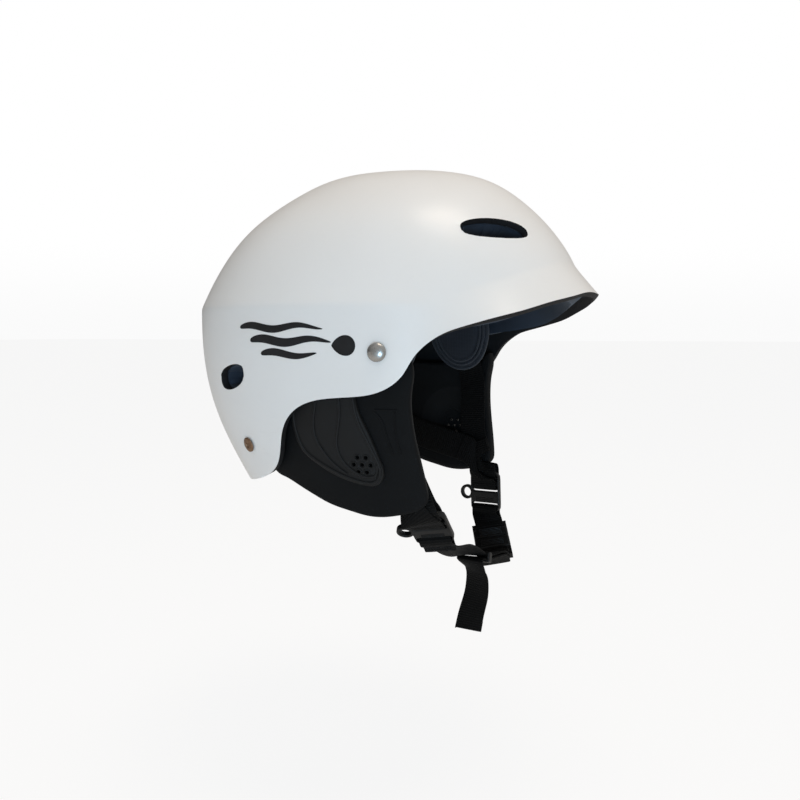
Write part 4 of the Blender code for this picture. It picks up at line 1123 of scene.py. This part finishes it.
def make_flaps():
    radii, rises = zip(*POCKET_STEPS)
    back = FLAP_DEPTH + FLAP_WALL

    def inner_depth(u, v):
        return back - np.interp(np.hypot(u - FLAP_HUB[0], v - FLAP_HUB[1]), radii, rises)

    def cover_depth(u, v):
        away = np.hypot(u - COVER_HUB[0], v - COVER_HUB[1]) / COVER_CROWN_REACH
        return COVER_DEPTH + COVER_CROWN * np.clip(away ** 2, 0, 1)

    stops = [radius for radius, _ in POCKET_STEPS if radius > 0]
    for side in (1, -1):
        def place(u, v, depth, side=side):
            return side_point(u, v, depth, side)
        flap = patch("flap_foam_" + hand(side), FLAP_OUTLINE, FLAP_HUB, 220, 26, even(FLAP_DEPTH),
                     inner_depth, FLAP_ROUNDING, place, stops)
        flap = add(flap.name, flap, LOOKS["flap"], "helmet", "flap")
        cover = patch("cover_shell_" + hand(side), COVER_OUTLINE, COVER_HUB, 180, 22, cover_depth,
                      even(COVER_DEPTH + COVER_WALL), COVER_ROUNDING, place)
        cover = add(cover.name, cover, LOOKS["cover"], "helmet", "cover")
        drill([flap, cover], side)
        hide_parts("ear_flap_" + hand(side))
        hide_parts("ear_cover_" + hand(side))
        cover_tree, flap_tree = tree_of(cover), tree_of(flap)
        beads = [laid_on(cover_tree, along(line, 70), side) for line in COVER_LINES]
        tubes("cover_beads_" + hand(side), beads, 0.85, LOOKS["cover"], "helmet", "cover", sides=10)
        border = laid_on(cover_tree, inset_ring(COVER_OUTLINE, COVER_HUB, 2.6, 150), side, -0.1)
        tubes("cover_border_" + hand(side), [border], 0.95, LOOKS["cover"], "helmet", "cover", closed=True,
              sides=10)
        hole_rims = []
        for spot in hearing_places(side):
            rim = circle(0, 0, HEARING["rim"], 20)
            high = [world_point(spot, x, y, HEARING_CAST) for x, y in rim]
            hole_rims.append(onto(cover_tree, high, [-axis_of(spot, 2)] * len(high)))
        tubes("hearing_rims_" + hand(side), hole_rims, 0.42, LOOKS["cover"], "helmet", "cover", closed=True)
        marks = [laid_on(flap_tree, along(line, 40), side, -0.1) for line in FLAP_MARKS]
        tubes("flap_beads_" + hand(side), marks, 0.62, LOOKS["flap"], "helmet", "flap")


# ---------------------------------------------------------------- rivets and washers
def make_rivets():
    for label, (spot, head, dome, look, base) in RIVETS.items():
        for side in (1, -1):
            place = place_on_dome(spot, side)
            arc = [(head * math.sin(t), base + RIVET_LIP + (dome - RIVET_LIP) * math.cos(t))
                   for t in np.linspace(0, math.pi / 2, 12)]
            if label == "rear":
                arc = [(radius, base + height) for radius, height in REAR_RIVET_DIMPLE] + arc[4:]
            skirt = [(head, base + 0.25), (head - 0.25, base), (RIVET_SHANK, base), (RIVET_SHANK, RIVET_END),
                     (0, RIVET_END)]
            rivet = turned(f"{label}_rivet_head_{hand(side)}", arc + skirt, place, LOOKS[look], look)
            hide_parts(f"{label}_rivet_{hand(side)}")
            washer = turned(f"{label}_washer_ring_{hand(side)}", WASHER_PROFILE, place, LOOKS["steel"],
                            "washer")
            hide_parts(f"{label}_rivet_washer_{hand(side)}")


# ---------------------------------------------------------------- straps
def side_strap(label, route, side):
    samples = along(route, 110)
    centre = side_point(samples[:, 0], samples[:, 1], samples[:, 2], side)
    normal = side_normal(samples[:, 0], samples[:, 1], side)
    flat_run = side_point(samples[:, 0], samples[:, 1], 15.0, side)
    across = np.cross(normal, np.gradient(flat_run, axis=0))
    strap = webbing(f"{label}_webbing_{hand(side)}", centre, across, "helmet")
    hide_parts(f"{label}_strap_{hand(side)}")
    return centre, unit(across)


def divider_frame(side):
    """Frame of a strap divider: origin at its pivot, x towards the front, -z down its length."""
    top = Vector((PIVOT[0], PIVOT[1] * side, PIVOT[2]))
    turn = math.radians(DIVIDER["turn"])
    return frame_at(top, (math.cos(turn), -math.sin(turn) * side, 0), top - Vector(DIVIDER_ENDS[side]))


def world_point(place, x, y, z):
    return np.array(place @ (Vector((x, y, z)) * MM)) / MM


def axis_of(place, column):
    return np.array(place.col[column][:3])


def wrap_points(place, free_end, inner_end, half_thick):
    """Webbing round a bar of a frame: from its -y side, through the slot, to its +y side."""
    step = 1 if inner_end > free_end else -1
    radius = half_thick + 1.1
    middle = inner_end - 0.5 * step
    turns = np.linspace(-math.pi / 2, math.pi / 2, 9)
    arc = [(radius * math.sin(t), middle + step * radius * math.cos(t)) for t in turns]
    return [world_point(place, 0, y, z) for y, z in [(-radius, free_end)] + arc + [(radius, free_end)]]


def smoothed(points, across, count, closed=False):
    """A smooth route with count points, and width directions turned evenly between the given ones."""
    points, across = np.asarray(points, float), np.asarray(across, float)
    if closed:
        points = np.vstack([points, points[:1]])
        across = np.vstack([across, across[:1]])
    chord = run_of(points)
    stops = np.linspace(0, chord[-1], count + 1)[:-1] if closed else np.linspace(0, chord[-1], count)
    knots, ring = chord, points
    if closed:
        lead = slice(-4, -1)
        knots = np.concatenate([chord[lead] - chord[-1], chord, chord[1:4] + chord[-1]])
        ring = np.vstack([points[lead], points, points[1:4]])
    return splined(knots, ring, stops), interpolated(stops, chord, across)


def strap_loop(label, side, strap_centre, strap_across, bar, rise_points):
    """The sewn end of a side strap round a bar of its divider. It swings with the divider."""
    divider = divider_frame(side)
    end, last_across = strap_centre[-1], strap_across[-1]
    along_strap = unit(end - strap_centre[-4])
    flat = np.cross(along_strap, last_across)
    flat = unit(flat * np.sign(flat @ axis_of(divider, 1)))
    low, high = bar
    wrap = wrap_points(divider, high, low, DIVIDER["thick"] / 2)
    before, after, across_before, across_after = [], [], [], []
    for back in (9.0, 5.0, 1.5):
        for sign, points, across in ((-1, before, across_before), (1, after, across_after)):
            points.append(end - along_strap * back + flat * 1.42 * sign)
            across.append(last_across)
    for x, y, z, share in rise_points:
        for sign, points, across in ((-1, before, across_before), (1, after, across_after)):
            points.append(world_point(divider, x, y * sign, z))
            same_way = np.sign(last_across @ axis_of(divider, 0)) if label == "front" else 1
            across.append(last_across * same_way * (1 - share) + axis_of(divider, 0) * share)
    route = before + wrap + after[::-1]
    across = across_before + [axis_of(divider, 0)] * len(wrap) + across_after[::-1]
    centre, widths = smoothed(route, across, 96)
    webbing(f"{label}_strap_loop_{hand(side)}", centre, widths, CHIN_BODY[side],
            width=LOOP_WIDTH, thick=LOOP_THICK)
    outward = flat * np.sign(flat @ [0, side, 0])
    wide = last_across * (WEBBING / 2 - 2.2)
    stitches = []
    for back in (2.2, 3.4, 6.6, 7.8):
        middle = end - along_strap * back + outward * 2.12
        stitches += stitch_row(middle - wide, middle + wide, outward)
    tubes(f"{label}_loop_stitches_{hand(side)}", stitches, THREAD, LOOKS["thread"], CHIN_BODY[side],
          "webbing", sides=5)


STITCH_PITCH, STITCH_GAP = 1.7, 0.45
STITCH_HEIGHTS = np.array([-0.22, 0.06, 0.12, 0.06, -0.22])


def stitch_row(start, end, normal):
    """Short threads that dip at both ends, along a line."""
    length = np.linalg.norm(end - start)
    run = (end - start) / length
    made = []
    for at in np.arange(0, length - STITCH_PITCH + STITCH_GAP, STITCH_PITCH):
        stops = np.linspace(at, at + STITCH_PITCH - STITCH_GAP, len(STITCH_HEIGHTS))
        made.append(start + run * stops[:, None] + normal * STITCH_HEIGHTS[:, None])
    return made


def make_side_straps():
    for side in (1, -1):
        centre, across = side_strap("front", FRONT_STRAP, side)
        strap_loop("front", side, centre, across, FRONT_BAR, FRONT_RISE)
        centre, across = side_strap("rear", REAR_STRAP, side)
        strap_loop("rear", side, centre, across, REAR_BAR, REAR_RISE)


# ---------------------------------------------------------------- dividers and buckle
def upright(place):
    """The plate frame inside a divider's frame: its own x and y are the divider's x and z."""
    return place @ Matrix.Rotation(math.radians(90), 4, "X")


def divider_outline():
    width, length, corner = DIVIDER["width"], DIVIDER["length"], DIVIDER["corner"]
    plate = rounded_rectangle(-width / 2, width / 2, -length, 0, corner, 8)
    opening = math.acos(abs(-width / 2 - EYE["x"]) / EYE["outer"])
    lug = [(EYE["x"] + EYE["outer"] * math.cos(t), -EYE["down"] + EYE["outer"] * math.sin(t))
           for t in np.linspace(opening, 2 * math.pi - opening, 26)]
    return plate[:16] + lug + plate[16:]


def grip_ribs(name, place, heights, half_thick, across, radius, body, sides):
    """Moulded ribs across both faces of a buckle part."""
    ribs = [[world_point(place, x, face * half_thick, z) for x in across]
            for face in (-1, 1) for z in heights]
    tubes(name, ribs, radius, LOOKS["plastic"], body, "plastic", sides=sides)


def make_dividers():
    half = WEBBING / 2 + 0.6
    low = DIVIDER["bar"] - DIVIDER["length"]
    slots = [rounded_rectangle(-half, half, a, b, 1.3, 5)[::-1]
             for a, b in (*SLOTS, (low, low + DIVIDER["slot"]))]
    eye = circle(EYE["x"], -EYE["down"], EYE["inner"])[::-1]
    for side in (1, -1):
        place = divider_frame(side)
        name = "divider_plate_" + hand(side)
        plate = rounded_plate(name, [divider_outline()] + slots + [eye], DIVIDER["thick"], upright(place),
                              CHIN_BODY[side], DIVIDER["rounding"])
        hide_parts("strap_divider_" + hand(side))
        grip_ribs("divider_ribs_" + hand(side), place, DIVIDER_RIBS, DIVIDER["thick"] / 2,
                  np.linspace(-7, 7, 6), 0.34, CHIN_BODY[side], 6)


def buckle_frame():
    """Frame of the buckle: origin at the plug's far end, z from the plug to the socket, x across it."""
    return frame_at(BUCKLE_END, (1, 0, 0), Vector(BUCKLE_START) - Vector(BUCKLE_END))


def buckle_length():
    return (Vector(BUCKLE_START) - Vector(BUCKLE_END)).length


def keeper_frame():
    """Frame of the keeper: z along the webbing towards the plug, x across it."""
    run = (Vector(BUCKLE_END) - Vector(KEEPER_AT)).normalized() + \
        (Vector(KEEPER_AT) - Vector(CHIN_ROUTE[-1])).normalized()
    return frame_at(KEEPER_AT, (1, 0, 0), run)


def make_buckle():
    """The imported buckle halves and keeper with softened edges, and grip ribs moulded on."""
    place, total = buckle_frame(), buckle_length()
    for name in ("buckle_socket", "buckle_plug", "webbing_keeper"):
        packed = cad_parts[name]
        packed.data.materials.clear()
        packed.data.materials.append(LOOKS["plastic"])
        bevelled(packed, 0.35, 2, 32, harden_normals=True)
    mouth = total - SOCKET_LENGTH
    half = BUCKLE_THICK / 2
    for name, body, spots in (("socket_grip", "chin_left", np.arange(mouth + 2.2, mouth + 7.6, 1.35)),
                              ("plug_grip", "chin_right", np.arange(mouth - 7.4, mouth - 2.0, 1.35))):
        grip_ribs(name, place, spots, half + 0.05, np.linspace(-8.2, 8.2, 8), 0.42, body, 8)


def make_socket_loop():
    """A short sewn loop of webbing that joins the left divider to the buckle's socket."""
    divider, buckle, total = divider_frame(1), buckle_frame(), buckle_length()
    low = -DIVIDER["length"]
    first = wrap_points(divider, low, low + DIVIDER["bar"], DIVIDER["thick"] / 2)
    second = wrap_points(buckle, total, total - BUCKLE_BAR["length"], BUCKLE_BAR["half_thick"])[::-1]
    outer_bend = (first[-1] + second[0]) / 2 + np.array([0, 1.0, -0.6])
    inner_bend = (first[0] + second[-1]) / 2
    between = [(axis_of(divider, 0) + axis_of(buckle, 0)) / 2]
    across = [axis_of(divider, 0)] * len(first) + between + [axis_of(buckle, 0)] * len(second) + between
    centre, widths = smoothed(first + [outer_bend] + second + [inner_bend], across, 96, closed=True)
    loop = webbing("buckle_loop", centre, widths, "chin_left", closed=True)
    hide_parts("socket_loop")


def make_chin_webbing():
    """One length of webbing: sewn round the right divider, through the keeper, round the plug and back."""
    divider, buckle, keeper = divider_frame(-1), buckle_frame(), keeper_frame()
    low = -DIVIDER["length"]
    layer = LAYER_STEP / 2
    round_divider = wrap_points(divider, low, low + DIVIDER["bar"], DIVIDER["thick"] / 2)
    sewn = [world_point(divider, 0, -layer, z) for z in (low - 10, low - 4)]
    upper = [world_point(divider, 0, layer, low - 4)]
    round_plug = wrap_points(buckle, 0, BUCKLE_BAR["length"], BUCKLE_BAR["half_thick"])
    arriving = [world_point(buckle, *p) for p in ((-1.6, -9.4, -4.0), (-0.4, -5.6, -2.2))]
    returning = [world_point(buckle, *p) for p in ((0, 3.2, -1.5), (0, 1.4, -2.8), (-0.1, -1.4, -3.6),
                                                  (-0.5, -4.6, -4.8), (-1.9, -8.8, -6.5))]
    below = [world_point(keeper, 0, LAYER_STEP, z) for z in (3.0, -3.4)]
    middle = along([upper[0]] + CHIN_ROUTE + [KEEPER_AT, world_point(keeper, 0, 0, 3.0)], 16)[1:]
    groups = [(divider, sewn + round_divider + upper), (keeper, list(middle)),
              (buckle, arriving + round_plug), (buckle, returning), (keeper, below)]
    route = [p for place, points in groups for p in points]
    across = np.array([axis_of(place, 0) for place, points in groups for p in points])
    start = len(groups[0][1])
    lean = WEBBING_LEAN * np.sin(np.linspace(0, math.pi, len(middle))) ** 1.3
    across[start:start + len(middle)] += np.tan(np.radians(lean))[:, None] * np.array([0, 0, 1.0])
    centre, widths = smoothed(route, across, 260)
    strap = webbing("chin_strap_webbing", centre, widths, "chin_right")
    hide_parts("chin_webbing")
    stitches = []
    for down in (5.0, 6.2, 8.0, 9.2):
        ends = [world_point(divider, x, -layer - 0.72, low - down) for x in (-7.8, 7.8)]
        stitches += stitch_row(*ends, -axis_of(divider, 1))
    tubes("chin_stitches", stitches, THREAD, LOOKS["thread"], "chin_right", "webbing", sides=5)

    hang = [world_point(keeper, 0, LAYER_STEP + 0.3, -4.4), world_point(keeper, 0, LAYER_STEP + 1.4, -6.4)]
    tail = along(hang + [np.array(p) for p in TAIL_ROUTE], 90)
    stops = np.array([axis_of(keeper, 0)] + TAIL_ACROSS, float)
    tail_widths = interpolated(np.linspace(0, 1, len(tail)), (0, TAIL_TURNED, 1), stops)
    loose = webbing("tail_webbing", tail, tail_widths, "tail", slant=TAIL_SLANT)
    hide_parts("strap_tail")


# ---------------------------------------------------------------- printed marks
def printed(name, grid, tree, side):
    """A thin printed patch on the shell from a grid of side-view (x, z) points, rows by columns."""
    rows, columns = grid.shape[:2]
    flat = grid.reshape(-1, 2)
    start = side_point(flat[:, 0], flat[:, 1], -PRINT_FROM, side)
    normal = side_normal(flat[:, 0], flat[:, 1], side)
    hits = onto(tree, start, -normal)
    points = np.vstack([hits + normal * PRINT_OVER, hits - normal * PRINT_UNDER])
    count = rows * columns
    faces = grid_faces(rows, columns, closed=False)
    faces += [tuple(v + count for v in face[::-1]) for face in faces]
    index = np.arange(count).reshape(rows, columns)
    loop = np.concatenate([index[0], index[1:, -1], index[-1, -2::-1], index[-2:0:-1, 0]]).tolist()
    faces += [(a, b, b + count, a + count) for a, b in zip(loop, loop[1:] + loop[:1])]
    return add(name, mesh_of(name, points, faces, 40), LOOKS["ink"])


def make_marks(skin):
    """Three tapered wave bars and a drop, printed on both sides."""
    tree = tree_of(skin)
    share = np.linspace(0, 1, 90)
    for side in (1, -1):
        for number, (height, first, last, half) in enumerate(MARK_BARS):
            x = first + (last - first) * share
            middle = height + MARK_WAVE * np.sin((x - first) / MARK_PERIOD * 2 * math.pi)
            thick = half * np.sin(np.pi * share ** 0.62) ** 0.55 + 0.05
            grid = np.stack([np.stack([x, middle + thick * t], -1) for t in np.linspace(1, -1, 7)])
            printed(f"wave_mark_{number + 1}_{hand(side)}", grid, tree, side)
        turns = np.linspace(0, math.pi, 30)
        radius = MARK_DROP["radius"]
        x = MARK_DROP["x"] + radius * np.cos(turns) * np.where(turns < math.pi / 2, 1.0, MARK_DROP["stretch"])
        half = radius * np.sin(turns) ** np.where(turns < math.pi / 2, 1.0, 1.6)
        grid = np.stack([np.stack([x, MARK_DROP["z"] + (half + 0.02) * t], -1)
                         for t in np.linspace(1, -1, 15)])
        printed("drop_mark_" + hand(side), grid, tree, side)


# ---------------------------------------------------------------- stage
def aim(made, target):
    direction = Vector(target) - made.location
    made.rotation_euler = direction.to_track_quat("-Z", "Y").to_euler()


def soft_light(name, place, target, size, power, colour):
    data = bpy.data.lights.new(name, "AREA")
    data.shape = "DISK"
    data.size = size
    data.energy = power
    data.color = colour
    made = in_scene(name, data)
    made.location = place
    aim(made, target)


def mix_shaders(tree, share, first, second, output):
    mix = node(tree, "ShaderNodeMixShader")
    for value, socket in ((share, mix.inputs[0]), (first.outputs[0], mix.inputs[1]),
                          (second.outputs[0], mix.inputs[2]), (mix.outputs[0], output.inputs["Surface"])):
        tree.links.new(value, socket)


def make_stage():
    mesh = bpy.data.meshes.new("floor")
    with editing(mesh, fresh=True) as bm:
        bmesh.ops.create_grid(bm, x_segments=1, y_segments=1, size=FLOOR_HALF_SIZE)
    look, tree = new_look("pale_floor", FLOOR_COLOUR, 0.9, specular=0.1)
    seen = node(tree, "ShaderNodeLightPath").outputs["Is Camera Ray"]
    glow = node(tree, "ShaderNodeEmission", Color=(1, 1, 1, 1), Strength=1.0)
    mix_shaders(tree, maths(tree, "MULTIPLY", seen, FLOOR_GLOW), tree.nodes["Principled BSDF"], glow,
                tree.nodes["Material Output"])
    floor = add("floor", mesh, look, body=None)
    floor.location = (0, 0, FLOOR_Z)

    make_world()
    bpy.context.scene.view_settings.view_transform = "Standard"
    for light in LIGHTS:
        soft_light(*light)


def make_world():
    """A soft studio, brighter above and on one side, before a white backdrop that dims towards the floor."""
    world = bpy.data.worlds.new("studio")
    world.use_nodes = True
    tree = world.node_tree
    tree.nodes.clear()
    way = node(tree, "ShaderNodeTexCoord").outputs["Generated"]
    split = node(tree, "ShaderNodeSeparateXYZ")
    tree.links.new(way, split.inputs[0])
    facing = node(tree, "ShaderNodeVectorMath", operation="DOT_PRODUCT")
    facing.inputs[1].default_value = Vector(SKY_BRIGHT_SIDE).normalized()
    tree.links.new(way, facing.inputs[0])
    shades = []
    for value, low, high, dim, bright in ((split.outputs["Z"], 0.0, BACKDROP_RISE, BACKDROP_FOOT, 1.0),
                                          (facing.outputs["Value"], -1.0, 1.0, *SKY_LIGHT)):
        shade = node(tree, "ShaderNodeBackground", Color=(1, 1, 1, 1))
        tree.links.new(spread(tree, value, dim, bright, low, high, "SMOOTHSTEP"), shade.inputs["Strength"])
        shades.append(shade)
    mix_shaders(tree, node(tree, "ShaderNodeLightPath").outputs["Is Camera Ray"], *shades[::-1],
                node(tree, "ShaderNodeOutputWorld"))
    bpy.context.scene.world = world


def make_camera():
    turn, rise = math.radians(CAMERA_TURN_DEG), math.radians(CAMERA_RISE_DEG)
    back = Vector((math.sin(turn) * math.cos(rise), -math.cos(turn) * math.cos(rise), math.sin(rise)))
    data = bpy.data.cameras.new("camera")
    data.lens = CAMERA_LENS
    data.sensor_width = 36
    data.shift_y = CAMERA_SHIFT
    data.clip_start = 0.02
    made = in_scene("camera", data)
    made.location = Vector(CAMERA_TARGET) + back * CAMERA_DISTANCE
    aim(made, CAMERA_TARGET)
    bpy.context.scene.camera = made


make_camera()
shell_skin = make_shell()
make_liner()
make_pads()
make_flaps()
make_rivets()
make_side_straps()
make_dividers()
make_buckle()
make_socket_loop()
make_chin_webbing()
make_marks(shell_skin)
make_stage()
